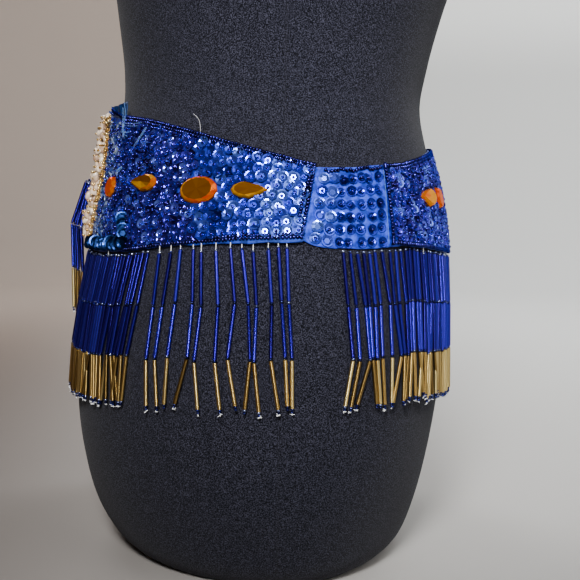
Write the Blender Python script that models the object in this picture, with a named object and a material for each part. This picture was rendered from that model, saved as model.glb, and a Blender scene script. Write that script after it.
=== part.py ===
# Beaded belly dance hip belt, worn on a limbless dress form.
#
# Frame: metres, +Z up. The form faces +X, its back is at -X, and the wearer's right hip,
# where the belt closes, is at -Y. The form stands on its flat underside at z = 0.
#
# Every piece of the belt is worked out from the form's skin: a point is given by its height,
# its angle round the form (0 at the front, 90 at the right hip, 180 at the back, 270 at the
# left hip) and how far it stands out from the skin.

import math

import bmesh
import bpy
from mathutils import Vector

# ---- driving dimensions, metres and degrees -------------------------------------------------

GAP = 0.0003                 # between pieces that touch
SIDE_LINE_X = 0.0057         # x of the form's side seams; this centres the bounding box on x = 0

FRONT_POWER = 2.5            # superellipse power of the front half of each section
UNDERSIDE_FRONT_POWER = 2.0  # rounder towards the underside
ROUNDING_HEIGHT = 0.12       # where the front reaches its full power
BACK_POWER = 2.1             # and of the back half
FORM_SEGMENTS = 48
BELT_ZONE = (0.19, 0.33)     # heights where the form's rings lie close, to follow its waist
RING_STEP = 0.030
BELT_ZONE_RING_STEP = 0.0125

# Sections of the form, and how far its skin lies from the side line.
FORM_SECTIONS = (
    # height, front, back, side
    (0.000, 0.0740, 0.1030, 0.1360),    # underside
    (0.004, 0.0815, 0.1105, 0.1420),
    (0.012, 0.0890, 0.1190, 0.1490),
    (0.030, 0.0955, 0.1300, 0.1570),
    (0.055, 0.1010, 0.1375, 0.1660),
    (0.090, 0.1062, 0.1430, 0.1725),
    (0.130, 0.1105, 0.1432, 0.1750),    # fullest part of the hips
    (0.170, 0.1120, 0.1388, 0.1735),
    (0.210, 0.1105, 0.1325, 0.1670),
    (0.245, 0.1050, 0.1260, 0.1550),
    (0.275, 0.0970, 0.1190, 0.1420),
    (0.300, 0.0930, 0.1140, 0.1320),
    (0.325, 0.0970, 0.1140, 0.1260),    # waist
    (0.350, 0.1030, 0.1170, 0.1240),
    (0.380, 0.1120, 0.1210, 0.1255),
    (0.420, 0.1270, 0.1265, 0.1320),
    (0.455, 0.1390, 0.1290, 0.1400),
    (0.480, 0.1430, 0.1300, 0.1450),    # bust
    (0.510, 0.1390, 0.1310, 0.1490),
    (0.550, 0.1230, 0.1315, 0.1550),
    (0.590, 0.1060, 0.1300, 0.1620),
    (0.620, 0.0950, 0.1250, 0.1670),    # shoulders
    (0.645, 0.0860, 0.1170, 0.1650),
    (0.663, 0.0790, 0.1090, 0.1520),
    (0.678, 0.0720, 0.1000, 0.1300),
    (0.690, 0.0660, 0.0920, 0.1060),
    (0.702, 0.0600, 0.0830, 0.0830),
    (0.718, 0.0555, 0.0730, 0.0640),
    (0.740, 0.0535, 0.0680, 0.0570),    # neck
    (0.775, 0.0535, 0.0670, 0.0560),
    (0.783, 0.0505, 0.0640, 0.0530),    # rounded edge of the flat neck cap
)

# Cut edges of the two panels, the same on both sides of the body.
PANEL_EDGES = (
    # angle from the front, top, bottom
    (0.0, 0.2745, 0.2010),
    (15.0, 0.2725, 0.2018),
    (27.0, 0.2690, 0.2040),
    (40.0, 0.2640, 0.2070),
    (53.0, 0.2588, 0.2098),
    (68.0, 0.2562, 0.2112),
    (80.0, 0.2572, 0.2118),
    (92.0, 0.2625, 0.2108),
    (106.0, 0.2704, 0.2096),
    (120.0, 0.2782, 0.2071),
    (134.0, 0.2849, 0.2028),
    (147.0, 0.2888, 0.2012),
    (160.0, 0.2960, 0.2014),
    (180.0, 0.2990, 0.2026),
)

# Cut edges of the closure tab, which joins the panels over the right hip.
TAB_EDGES = (
    # angle, top, bottom
    (47.0, 0.2575, 0.2125),
    (55.0, 0.2582, 0.2095),
    (63.0, 0.2566, 0.2085),
    (72.0, 0.2551, 0.2082),
    (80.0, 0.2549, 0.2096),
    (86.0, 0.2556, 0.2140),
    (92.0, 0.2570, 0.2155),
)

FORM_CLEARANCE = 0.0006      # cloth to the form's skin
PANEL_THICKNESS = 0.0016     # stiffened and lined, with its beadwork's thread
TAB_THICKNESS = 0.0012
PANEL_LIFT = 0.0015          # how much further out a panel lies where it covers the tab
LIFT_EASE = 16.0             # degrees over which a panel settles back to the form

BACK_PANEL_END_TOP = 79.8    # the back panel's end slants: its angle at the top corner
BACK_PANEL_END_BOTTOM = 84.0
FRONT_PANEL_END = 58.0
TAB_FRONT_END = 48.0         # hidden under the front panel
TAB_BACK_END = 90.5          # hidden under the back panel
LEFT_SEAM = 276.0            # both panels meet over the left hip
SEAM_HALF_GAP = 0.075        # degrees, half of a GAP at the seam

BEAD_EDGE_WIDTH = 0.0024     # one row of seed beads
BEAD_EDGE_THICKNESS = 0.0018
SELVEDGE = 0.0027            # cloth that shows below the bottom bead row, over the hips only:
SELVEDGE_FROM = 25.0         # degrees from the front
SELVEDGE_TO = 128.0
SELVEDGE_EASE = 30.0
SEAM_BAND_ANGLE = 1.0        # degrees that the bead row over the left seam covers each way

FRINGE_REACH = 0.097         # from the panel's bottom edge to the end of a strand
FRINGE_THICKNESS = 0.0026
FRINGE_BACK_START = 87.2     # the fringe leaves the overlap of the closure bare
FRINGE_FRONT_END = 53.3
FRINGE_TAB_START = 53.6
FRINGE_TAB_END = 71.8

# Middle of the right pearl braid, a thick rope beside the centre back.
BRAID_LINE = (
    # height, angle
    (0.200, 160.5),
    (0.250, 161.0),
    (0.300, 162.0),
)
BRAID_WIDTH = 0.013
BRAID_THICKNESS = 0.0095
BRAID_END_INSET = 0.0045     # from the bead rows to the braid's ends

TASSEL_HALF_WIDTH = 0.0065
# Strands that hang off the centre back gem, and how far behind the side line they lie.
TASSEL_SECTIONS = (
    # height, inner, outer
    (0.2490, 0.1277, 0.1375),
    (0.2370, 0.1375, 0.1465),
    (0.2215, 0.1450, 0.1545),
    (0.1900, 0.1455, 0.1545),
    (0.1550, 0.1455, 0.1535),
)

# Gems. A teardrop's point looks towards smaller angles (-1) or larger ones (+1).
GEM_ROW = (
    # name, shape, angle, height, point
    ("gem_back_drop_outer_right", "drop", 98.5, 0.2410, -1),
    ("gem_back_oval_right", "oval", 112.2, 0.2406, 1),
    ("gem_back_drop_inner_right", "drop", 130.5, 0.2450, 1),
    ("gem_back_round_right", "round", 147.0, 0.2425, 1),
    ("gem_centre_back", "oval", 180.0, 0.2590, 1),
    ("gem_back_round_left", "round", 213.0, 0.2425, 1),
    ("gem_back_drop_inner_left", "drop", 229.5, 0.2450, -1),
    ("gem_back_oval_left", "oval", 247.8, 0.2406, 1),
    ("gem_back_drop_outer_left", "drop", 261.5, 0.2410, 1),
    ("gem_front_drop_left", "drop", -41.2, 0.2392, -1),
    ("gem_front_round_left", "round", -32.0, 0.2390, 1),
    ("gem_centre_front", "oval", 0.0, 0.2385, 1),
    ("gem_front_round_right", "round", 32.0, 0.2390, 1),
    ("gem_front_drop_right", "drop", 41.2, 0.2392, 1),
)
GEM_SIZES = {"drop": (0.0220, 0.0102), "oval": (0.0245, 0.0170), "round": (0.0140, 0.0140)}
GEM_HEIGHT = 0.0052
GEM_FACETS = 16

SKIN_MATERIALS = {
    "form_jersey": ((0.020, 0.022, 0.028), 0.92, 0.0),
    "belt_satin": ((0.030, 0.090, 0.420), 0.45, 0.0),
    "tab_satin": ((0.080, 0.170, 0.600), 0.40, 0.0),
    "seed_beads": ((0.010, 0.012, 0.110), 0.22, 0.0),
    "blue_bugles": ((0.008, 0.015, 0.220), 0.20, 0.0),
    "pearls": ((0.780, 0.660, 0.480), 0.30, 0.0),
    "amber_gems": ((0.800, 0.230, 0.010), 0.12, 0.0),
}


# ---- the form's skin ------------------------------------------------------------------------

def read_table(rows, at):
    """A row of the table, smoothly interpolated at a value of its first column."""
    keys = [row[0] for row in rows]
    at = min(max(at, keys[0]), keys[-1])
    i = 0
    while i < len(keys) - 2 and at > keys[i + 1]:
        i += 1
    step = keys[i + 1] - keys[i]
    u = (at - keys[i]) / step

    def slope(j, column):
        a, b = max(j - 1, 0), min(j + 1, len(rows) - 1)
        return (rows[b][column] - rows[a][column]) / (keys[b] - keys[a])

    values = []
    for column in range(1, len(rows[0])):
        values.append(
            (2 * u**3 - 3 * u**2 + 1) * rows[i][column]
            + (u**3 - 2 * u**2 + u) * step * slope(i, column)
            + (3 * u**2 - 2 * u**3) * rows[i + 1][column]
            + (u**3 - u**2) * step * slope(i + 1, column)
        )
    return values


def ease(value):
    value = min(max(value, 0.0), 1.0)
    return value * value * (3 - 2 * value)


def skin_point(angle, height, out=0.0):
    """The point at an angle and height that stands out from the form's skin."""
    front, back, side = read_table(FORM_SECTIONS, height)
    c, s = math.cos(math.radians(angle)), math.sin(math.radians(angle))
    front_power = UNDERSIDE_FRONT_POWER \
        + (FRONT_POWER - UNDERSIDE_FRONT_POWER) * ease(height / ROUNDING_HEIGHT)
    depth, power = (front, front_power) if c > 0 else (back, BACK_POWER)
    reach = (abs(c) ** power + abs(s) ** power) ** (-1 / power)
    return Vector((SIDE_LINE_X + (depth + out) * reach * c, -(side + out) * reach * s, height))


def skin_frame(angle, height, out):
    """A point off the skin, with the directions round the form, up along it and outwards."""
    step = 0.5
    around = skin_point(angle + step, height, out) - skin_point(angle - step, height, out)
    up = skin_point(angle, height + 0.004, out) - skin_point(angle, height - 0.004, out)
    around.normalize()
    outward = up.cross(around).normalized()
    return skin_point(angle, height, out), around, around.cross(outward).normalized(), outward


def from_front(angle):
    """An angle as its distance from the centre front, 0 to 180."""
    angle = angle % 360
    return min(angle, 360 - angle)


def panel_top(angle):
    return read_table(PANEL_EDGES, from_front(angle))[0]


def panel_bottom(angle):
    return read_table(PANEL_EDGES, from_front(angle))[1]


def tab_top(angle):
    return read_table(TAB_EDGES, angle)[0]


def tab_bottom(angle):
    return read_table(TAB_EDGES, angle)[1]


def panel_inner(angle):
    """How far a panel's inner face lies off the skin: further out where it covers the tab."""
    turn = (angle + 180) % 360 - 180
    cover = min(turn - (TAB_FRONT_END - LIFT_EASE), TAB_BACK_END + LIFT_EASE - turn)
    return FORM_CLEARANCE + PANEL_LIFT * ease(cover / LIFT_EASE)


def panel_outer(angle):
    return panel_inner(angle) + PANEL_THICKNESS


def tab_outer(_angle):
    return FORM_CLEARANCE + TAB_THICKNESS


def bead_row_bottom(angle):
    """The bottom of the lower bead row: over the hips some cloth shows below it."""
    turn = from_front(angle)
    shown = min(turn - SELVEDGE_FROM, SELVEDGE_TO - turn) / SELVEDGE_EASE
    return panel_bottom(angle) + GAP + SELVEDGE * ease(shown)


# ---- making solids --------------------------------------------------------------------------

def make_object(name, bm, material):
    bmesh.ops.recalc_face_normals(bm, faces=bm.faces)
    mesh = bpy.data.meshes.new(name)
    bm.to_mesh(mesh)
    bm.free()
    mesh.materials.append(materials[material])
    thing = bpy.data.objects.new(name, mesh)
    bpy.context.collection.objects.link(thing)
    mesh.shade_smooth()
    mesh.set_sharp_from_angle(angle=math.radians(35))
    return thing


def make_wall(name, material, ends, low, high, inner, outer, columns, rows):
    """A curved wall round the form.

    ends(v) gives its first and last angle at v, 0 at its low edge and 1 at its high edge.
    low and high give those edges' heights, and inner and outer its faces, all by angle.
    """
    bm = bmesh.new()
    faces = {}
    for side, out in (("in", inner), ("out", outer)):
        for i in range(columns + 1):
            for j in range(rows + 1):
                v = j / rows
                first, last = ends(v)
                angle = first + (last - first) * i / columns
                height = low(angle) + (high(angle) - low(angle)) * v
                faces[side, i, j] = bm.verts.new(skin_point(angle, height, out(angle)))
    for i in range(columns):
        for j in range(rows):
            for side in ("in", "out"):
                bm.faces.new([faces[side, i, j], faces[side, i + 1, j],
                              faces[side, i + 1, j + 1], faces[side, i, j + 1]])
    for i in range(columns):
        for j in (0, rows):
            bm.faces.new([faces["in", i, j], faces["in", i + 1, j],
                          faces["out", i + 1, j], faces["out", i, j]])
    for j in range(rows):
        for i in (0, columns):
            bm.faces.new([faces["in", i, j], faces["in", i, j + 1],
                          faces["out", i, j + 1], faces["out", i, j]])
    return make_object(name, bm, material)


def straight(first, last):
    return lambda v: (first, last)


def loft(name, material, rings):
    """A closed solid through rings of points, capped flat at both ends."""
    bm = bmesh.new()
    loops = [[bm.verts.new(point) for point in ring] for ring in rings]
    count = len(loops[0])
    for below, above in zip(loops, loops[1:]):
        for i in range(count):
            k = (i + 1) % count
            bm.faces.new([below[i], below[k], above[k], above[i]])
    bm.faces.new(loops[0])
    bm.faces.new(loops[-1])
    return make_object(name, bm, material)


# ---- the pieces -----------------------------------------------------------------------------

def build_form():
    """The dress form: one smooth solid on a flat underside, with a flat neck cap."""
    rows = [row[0] for row in FORM_SECTIONS]
    heights = [rows[0]]
    for low, high in zip(rows, rows[1:]):
        in_zone = BELT_ZONE[0] < (low + high) / 2 < BELT_ZONE[1]
        step = BELT_ZONE_RING_STEP if in_zone else RING_STEP
        count = math.ceil((high - low) / step - 0.01)
        heights += [low + (high - low) * (i + 1) / count for i in range(count)]
    rings = [[skin_point(360 * k / FORM_SEGMENTS, height) for k in range(FORM_SEGMENTS)]
             for height in heights]
    loft("dress_form", "form_jersey", rings)


def build_panels():
    """The back and front panels and the tab that closes them over the right hip."""
    make_wall("back_panel", "belt_satin",
              lambda v: (BACK_PANEL_END_BOTTOM + (BACK_PANEL_END_TOP - BACK_PANEL_END_BOTTOM) * v,
                         LEFT_SEAM - SEAM_HALF_GAP),
              panel_bottom, panel_top, panel_inner, panel_outer, 64, 6)
    make_wall("front_panel", "belt_satin",
              straight(LEFT_SEAM - 360 + SEAM_HALF_GAP, FRONT_PANEL_END),
              panel_bottom, panel_top, panel_inner, panel_outer, 44, 6)
    make_wall("closure_tab", "tab_satin", straight(TAB_FRONT_END, TAB_BACK_END),
              tab_bottom, tab_top, lambda angle: FORM_CLEARANCE, tab_outer, 16, 5)


def bead_row(name, ends, low, high, columns, rows=1, base=panel_outer):
    """A row of seed beads along an edge, as a low band on the panel's outer face."""
    make_wall(name, "seed_beads", ends, low, high,
              lambda angle: base(angle) + GAP,
              lambda angle: base(angle) + GAP + BEAD_EDGE_THICKNESS, columns, rows)


def build_bead_rows():
    width = BEAD_EDGE_WIDTH

    def below_top(angle):
        return panel_top(angle) - width

    def above_bottom(angle):
        return bead_row_bottom(angle) + width

    def end_low(angle):
        return above_bottom(angle) + GAP

    def end_high(angle):
        return below_top(angle) - GAP

    hip_side = read_table(FORM_SECTIONS, GEM_ROW[0][3])[2]
    turn = math.degrees(width / hip_side)       # a bead row's width as an angle
    back_start = BACK_PANEL_END_BOTTOM + 0.1
    seam = SEAM_BAND_ANGLE + 0.15
    back_end = LEFT_SEAM - seam
    front_start = LEFT_SEAM - 360 + seam

    bead_row("bead_row_back_top", straight(BACK_PANEL_END_TOP + 0.3, back_end),
             below_top, panel_top, 64)
    bead_row("bead_row_back_bottom", straight(back_start, back_end),
             bead_row_bottom, above_bottom, 64)
    bead_row("bead_row_front_top", straight(front_start, FRONT_PANEL_END),
             below_top, panel_top, 44)
    bead_row("bead_row_front_bottom", straight(front_start, FRONT_PANEL_END),
             bead_row_bottom, above_bottom, 44)
    bead_row("bead_row_back_end",
             lambda v: (back_start + (BACK_PANEL_END_TOP - back_start) * v + 0.15,
                        back_start + (BACK_PANEL_END_TOP - back_start) * v + 0.15 + turn),
             end_low, end_high, 1, 6)
    bead_row("bead_row_front_end", straight(FRONT_PANEL_END - turn, FRONT_PANEL_END),
             end_low, end_high, 1, 6)
    bead_row("bead_row_left_seam",
             straight(LEFT_SEAM - SEAM_BAND_ANGLE, LEFT_SEAM + SEAM_BAND_ANGLE),
             bead_row_bottom, panel_top, 2, 6)
    bead_row("bead_row_tab_top", straight(FRONT_PANEL_END + 0.4, BACK_PANEL_END_TOP - 0.9),
             lambda angle: tab_top(angle) - width, tab_top, 10, base=tab_outer)


def build_fringe():
    """The strands' reach: thin walls that hang straight from the belt's lower edge."""

    def hang(name, first, last, edge, columns):
        rows = 6
        rings = []
        for i in range(columns + 1):
            angle = first + (last - first) * i / columns
            top = edge(angle) - 0.0006
            inner_side, outer_side = [], []
            furthest = Vector((0, 0, 0))
            for j in range(rows + 1):
                height = top - FRINGE_REACH * j / rows
                # a strand never swings back in below the fullest part of the hips
                point = skin_point(angle, height, FORM_CLEARANCE)
                centre = Vector((SIDE_LINE_X, 0, height))
                if (point - centre).length < furthest.length:
                    point = centre + furthest
                furthest = point - centre
                inner_side.append(point)
                outer_side.append(point + furthest.normalized() * FRINGE_THICKNESS)
            rings.append(inner_side + outer_side[::-1])
        loft(name, "blue_bugles", rings)

    hang("fringe_back", FRINGE_BACK_START, LEFT_SEAM - SEAM_HALF_GAP, panel_bottom, 62)
    hang("fringe_front", LEFT_SEAM - 360 + SEAM_HALF_GAP, FRINGE_FRONT_END, panel_bottom, 44)
    hang("fringe_tab", FRINGE_TAB_START, FRINGE_TAB_END, tab_bottom, 7)


def build_braids():
    """Two upright pearl braids beside the centre back."""
    for name, left in (("pearl_braid_right", False), ("pearl_braid_left", True)):
        rings = []
        rows = 12
        top = panel_top(BRAID_LINE[-1][1]) - BRAID_END_INSET
        bottom = bead_row_bottom(BRAID_LINE[0][1]) + BRAID_END_INSET
        for j in range(rows + 1):
            height = bottom + (top - bottom) * j / rows
            middle = read_table(BRAID_LINE, height)[0]
            if left:
                middle = 360 - middle
            centre, around, _, outward = skin_frame(middle, height, panel_outer(middle) + GAP)
            half = BRAID_WIDTH / 2
            profile = ((-half, 0.0), (-half, 0.3), (-0.6 * half, 0.8), (0.0, 1.0),
                       (0.6 * half, 0.8), (half, 0.3), (half, 0.0))
            # the flat back is lifted by as much as the panel bulges under it
            rings.append([centre + around * x + outward * (y * BRAID_THICKNESS + 0.0001)
                          for x, y in profile])
        loft(name, "pearls", rings)


def gem_outline(shape, turn):
    """A point of a gem's outline, one unit long and wide, at a turn of 0 to 1."""
    angle = 2 * math.pi * turn
    x, y = math.cos(angle), math.sin(angle)
    if shape == "drop":
        # round at -x, drawn out to a point at +x
        y *= math.sin(angle / 2) ** 0.9 if x > 0 else 1.0
        y *= 1.0 if x <= 0 else 1 + 0.35 * x
    return 0.5 * x, 0.5 * y


def build_gem(name, shape, angle, height, point):
    """A faceted stone with a flat back, on the panel's outer face."""
    length, width = GEM_SIZES[shape]
    centre, around, up, outward = skin_frame(angle, height, panel_outer(angle) + GAP + 0.0001)
    # girdle, crown and table: height and how far each is drawn in
    rings = []
    for rise, scale in ((0.0, 0.97), (0.22, 1.0), (0.66, 0.78), (1.0, 0.42)):
        ring = []
        for i in range(GEM_FACETS):
            x, y = gem_outline(shape, (i + 0.5) / GEM_FACETS)
            ring.append(centre + around * (x * length * scale * point)
                        + up * (y * width * scale) + outward * (rise * GEM_HEIGHT))
        rings.append(ring)
    loft(name, "amber_gems", rings)


def build_tassel():
    """The reach of the loose strands that hang off the centre back."""
    rings = []
    for height, inner, outer in TASSEL_SECTIONS:
        rings.append([Vector((SIDE_LINE_X - back, y, height)) for back, y in (
            (inner, -TASSEL_HALF_WIDTH), (outer, -TASSEL_HALF_WIDTH),
            (outer, TASSEL_HALF_WIDTH), (inner, TASSEL_HALF_WIDTH))])
    loft("centre_back_tassel", "blue_bugles", rings)


def make_materials():
    made = {}
    for name, (colour, roughness, metallic) in SKIN_MATERIALS.items():
        material = bpy.data.materials.new(name)
        material.use_nodes = True
        shader = material.node_tree.nodes["Principled BSDF"]
        shader.inputs["Base Color"].default_value = (*colour, 1.0)
        shader.inputs["Roughness"].default_value = roughness
        shader.inputs["Metallic"].default_value = metallic
        made[name] = material
    return made


for old in list(bpy.data.objects):
    bpy.data.objects.remove(old, do_unlink=True)

materials = make_materials()
build_form()
build_panels()
build_bead_rows()
build_fringe()
build_braids()
for gem in GEM_ROW:
    build_gem(*gem)
build_tassel()
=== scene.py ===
import bisect
import math
import random

import bmesh
import bpy
from mathutils import Matrix, Vector, noise


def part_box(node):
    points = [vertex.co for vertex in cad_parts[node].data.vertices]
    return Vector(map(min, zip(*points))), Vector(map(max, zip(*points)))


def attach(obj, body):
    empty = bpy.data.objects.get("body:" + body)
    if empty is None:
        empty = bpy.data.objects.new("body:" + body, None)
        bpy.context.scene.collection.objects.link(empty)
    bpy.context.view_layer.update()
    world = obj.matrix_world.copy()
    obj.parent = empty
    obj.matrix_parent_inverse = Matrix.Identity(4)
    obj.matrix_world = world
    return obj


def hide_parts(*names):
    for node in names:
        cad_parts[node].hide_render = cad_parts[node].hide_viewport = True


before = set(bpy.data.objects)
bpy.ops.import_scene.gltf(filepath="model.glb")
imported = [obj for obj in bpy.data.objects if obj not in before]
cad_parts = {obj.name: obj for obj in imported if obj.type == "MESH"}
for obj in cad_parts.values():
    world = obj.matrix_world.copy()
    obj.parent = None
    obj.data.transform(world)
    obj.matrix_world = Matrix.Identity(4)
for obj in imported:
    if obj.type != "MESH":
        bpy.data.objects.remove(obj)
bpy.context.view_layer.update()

# Everything on the belt is placed by its angle round the dress form (0 front, 90 right hip,
# 180 back, 270 left hip), its height, and how far it stands out from the form's skin.


skin = {
    "sideLineX": 0.0057,             # x of the side seams
    "frontPower": 2.5,               # superellipse power of each section's front half
    "undersideFrontPower": 2.0,
    "roundingHeight": 0.12,
    "backPower": 2.1,
    # height, front, back, side
    "sections": (
        (0.000, 0.0740, 0.1030, 0.1360),
        (0.004, 0.0815, 0.1105, 0.1420),
        (0.012, 0.0890, 0.1190, 0.1490),
        (0.030, 0.0955, 0.1300, 0.1570),
        (0.055, 0.1010, 0.1375, 0.1660),
        (0.090, 0.1062, 0.1430, 0.1725),
        (0.130, 0.1105, 0.1432, 0.1750),
        (0.170, 0.1120, 0.1388, 0.1735),
        (0.210, 0.1105, 0.1325, 0.1670),
        (0.245, 0.1050, 0.1260, 0.1550),
        (0.275, 0.0970, 0.1190, 0.1420),
        (0.300, 0.0930, 0.1140, 0.1320),
        (0.325, 0.0970, 0.1140, 0.1260),
        (0.350, 0.1030, 0.1170, 0.1240),
        (0.380, 0.1120, 0.1210, 0.1255),
        (0.420, 0.1270, 0.1265, 0.1320),
        (0.455, 0.1390, 0.1290, 0.1400),
        (0.480, 0.1430, 0.1300, 0.1450),
        (0.510, 0.1390, 0.1310, 0.1490),
        (0.550, 0.1230, 0.1315, 0.1550),
        (0.590, 0.1060, 0.1300, 0.1620),
        (0.620, 0.0950, 0.1250, 0.1670),
        (0.645, 0.0860, 0.1170, 0.1650),
        (0.663, 0.0790, 0.1090, 0.1520),
        (0.678, 0.0720, 0.1000, 0.1300),
        (0.690, 0.0660, 0.0920, 0.1060),
        (0.702, 0.0600, 0.0830, 0.0830),
        (0.718, 0.0555, 0.0730, 0.0640),
        (0.740, 0.0535, 0.0680, 0.0570),
        (0.775, 0.0535, 0.0670, 0.0560),
        (0.783, 0.0505, 0.0640, 0.0530),
    ),
}


def readTable(rows, at):
    keys = [row[0] for row in rows]
    at = min(max(at, keys[0]), keys[-1])
    i = min(max(bisect.bisect_left(keys, at) - 1, 0), len(keys) - 2)
    step = keys[i + 1] - keys[i]
    u = (at - keys[i]) / step

    def slope(j, column):
        a, b = max(j - 1, 0), min(j + 1, len(rows) - 1)
        return (rows[b][column] - rows[a][column]) / (keys[b] - keys[a])

    return [(2 * u**3 - 3 * u**2 + 1) * rows[i][c] + (u**3 - 2 * u**2 + u) * step * slope(i, c)
            + (3 * u**2 - 2 * u**3) * rows[i + 1][c] + (u**3 - u**2) * step * slope(i + 1, c)
            for c in range(1, len(rows[0]))]


def clamp(value):
    return min(max(value, 0.0), 1.0)


def ease(value):
    value = clamp(value)
    return value * value * (3 - 2 * value)


belt = {
    # angle from the front, top, bottom
    "panelEdges": (
        (0.0, 0.2745, 0.2010),
        (15.0, 0.2725, 0.2018),
        (27.0, 0.2690, 0.2040),
        (40.0, 0.2640, 0.2070),
        (53.0, 0.2588, 0.2098),
        (68.0, 0.2562, 0.2112),
        (80.0, 0.2572, 0.2118),
        (92.0, 0.2625, 0.2108),
        (106.0, 0.2704, 0.2096),
        (120.0, 0.2782, 0.2071),
        (134.0, 0.2849, 0.2028),
        (147.0, 0.2888, 0.2012),
        (160.0, 0.2960, 0.2014),
        (180.0, 0.2990, 0.2026),
    ),
    # angle, top, bottom
    "tabEdges": (
        (47.0, 0.2575, 0.2125),
        (55.0, 0.2582, 0.2095),
        (63.0, 0.2566, 0.2085),
        (72.0, 0.2551, 0.2082),
        (80.0, 0.2549, 0.2096),
        (86.0, 0.2556, 0.2140),
        (92.0, 0.2570, 0.2155),
    ),
    "backEndTop": 79.8,
    "backEndMiddle": 82.0,
    "backEndBottom": 84.0,
    "frontEnd": 58.0,
    "tabFrontEnd": 48.0,
    "tabBackEnd": 90.5,
    "leftSeam": 276.0,
    "seamHalfGap": 0.075,
    "clearance": 0.0006,             # cloth to skin
    "panelLift": 0.0015,             # further out where a panel covers the tab
    "liftEase": 16.0,
    "panelCloth": 0.0012,
    "tabCloth": 0.0009,
    "selvedge": 0.0017,              # cloth that shows below the bottom beads over the hips
    "selvedgeFrom": 52.0,
    "selvedgeTo": 117.0,
    "selvedgeEase": 22.0,
    "beadRowRise": 0.0003,
    "beadRowWidth": 0.0024,
    # middle of the right pearl braid: height, angle
    "braidLine": (
        (0.200, 160.5),
        (0.250, 161.0),
        (0.300, 162.0),
    ),
    # the stiff belt stands off the form's waist at the centre back: how far, and over what
    "gape": 0.0060,
    "gapeFromHeight": 0.243,
    "gapeEaseHeight": 0.062,
    "gapeFromAngle": 128.0,
    "gapeEaseAngle": 27.0,
}


def fromFront(angle):
    angle = angle % 360
    return min(angle, 360 - angle)


def gape(angle, height):
    # how far the belt stands off the form near its top edge at the centre back
    up = ease((height - belt["gapeFromHeight"]) / belt["gapeEaseHeight"])
    return belt["gape"] * up * ease((fromFront(angle) - belt["gapeFromAngle"]) / belt["gapeEaseAngle"])


def skinPoint(angle, height, out=0.0):
    front, back, side = readTable(skin["sections"], height)
    if out > 0:
        out += gape(angle, height)
    c, s = math.cos(math.radians(angle)), math.sin(math.radians(angle))
    depth, power = back, skin["backPower"]
    if c > 0:
        soft = skin["undersideFrontPower"]
        depth = front
        power = soft + (skin["frontPower"] - soft) * ease(height / skin["roundingHeight"])
    reach = (abs(c) ** power + abs(s) ** power) ** (-1 / power)
    return Vector((skin["sideLineX"] + (depth + out) * reach * c, -(side + out) * reach * s, height))


def skinFrame(angle, height, out):
    # a point off the skin, with the directions round the form, up it and outwards
    around = skinPoint(angle + 0.5, height, out) - skinPoint(angle - 0.5, height, out)
    up = skinPoint(angle, height + 0.004, out) - skinPoint(angle, height - 0.004, out)
    around.normalize()
    outward = up.cross(around).normalized()
    return skinPoint(angle, height, out), around, around.cross(outward).normalized(), outward


# lengths round the belt, at the middle of its height
beltMiddle = 0.235
firstArcAngle, lastArcAngle = -100, 290
arcs = [0.0]
for turnStep in range(firstArcAngle + 1, lastArcAngle + 1):
    arcs.append(arcs[-1] + (skinPoint(turnStep, beltMiddle) - skinPoint(turnStep - 1, beltMiddle)).length)


def arcAt(angle):
    place = angle - firstArcAngle
    i = min(max(int(place), 0), len(arcs) - 2)
    return arcs[i] + (arcs[i + 1] - arcs[i]) * (place - i)


def angleAt(arc):
    i = min(max(bisect.bisect_left(arcs, arc) - 1, 0), len(arcs) - 2)
    return firstArcAngle + i + (arc - arcs[i]) / (arcs[i + 1] - arcs[i])


def panelTop(angle):
    return readTable(belt["panelEdges"], fromFront(angle))[0]


def panelBottom(angle):
    return readTable(belt["panelEdges"], fromFront(angle))[1]


def tabTop(angle):
    return readTable(belt["tabEdges"], angle)[0]


def tabBottom(angle):
    return readTable(belt["tabEdges"], angle)[1]


def panelInner(angle):
    turn = (angle + 180) % 360 - 180
    cover = min(turn - (belt["tabFrontEnd"] - belt["liftEase"]),
                belt["tabBackEnd"] + belt["liftEase"] - turn)
    return belt["clearance"] + belt["panelLift"] * ease(cover / belt["liftEase"])


def panelFace(angle):
    return panelInner(angle) + belt["panelCloth"]


def tabFace(_angle):
    return belt["clearance"] + belt["tabCloth"]


def beadRowBottom(angle):
    turn = fromFront(angle)
    shown = min(turn - belt["selvedgeFrom"], belt["selvedgeTo"] - turn) / belt["selvedgeEase"]
    return panelBottom(angle) + belt["beadRowRise"] + belt["selvedge"] * ease(shown)


def braidMiddle(height):
    return readTable(belt["braidLine"], height)[0]


def backEndAngle(v):
    # the back panel's slanted end, from the bottom edge, 0, to the top edge, 1
    return belt["backEndBottom"] + (belt["backEndTop"] - belt["backEndBottom"]) * v


def insideBackEnd(angle, height):
    # how far inside the back panel's slanted end a place lies, in degrees
    low, high = panelBottom(belt["backEndMiddle"]), panelTop(belt["backEndMiddle"])
    return angle - backEndAngle((height - low) / (high - low))


def linkObject(name, mesh):
    thing = bpy.data.objects.new(name, mesh)
    bpy.context.collection.objects.link(thing)
    return thing


def meshFrom(name, verts, faces, material=None, smooth=True):
    mesh = bpy.data.meshes.new(name)
    mesh.from_pydata(verts, [], faces)
    mesh.update()
    if material:
        mesh.materials.append(material)
    if smooth:
        mesh.shade_smooth()
    return linkObject(name, mesh)


def outwardFaces(thing):
    bm = bmesh.new()
    bm.from_mesh(thing.data)
    bmesh.ops.recalc_face_normals(bm, faces=bm.faces)
    bm.to_mesh(thing.data)
    bm.free()


def finishPiece(piece, slot, *nodes):
    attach(piece, "root")
    if nodes:
        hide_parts(*nodes)
    return piece


def turnOf(around, outward):
    # the rotation that lays a piece's x round the form and its z outwards
    up = outward.cross(around)
    return Matrix((around, up, outward)).transposed().to_euler()


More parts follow.
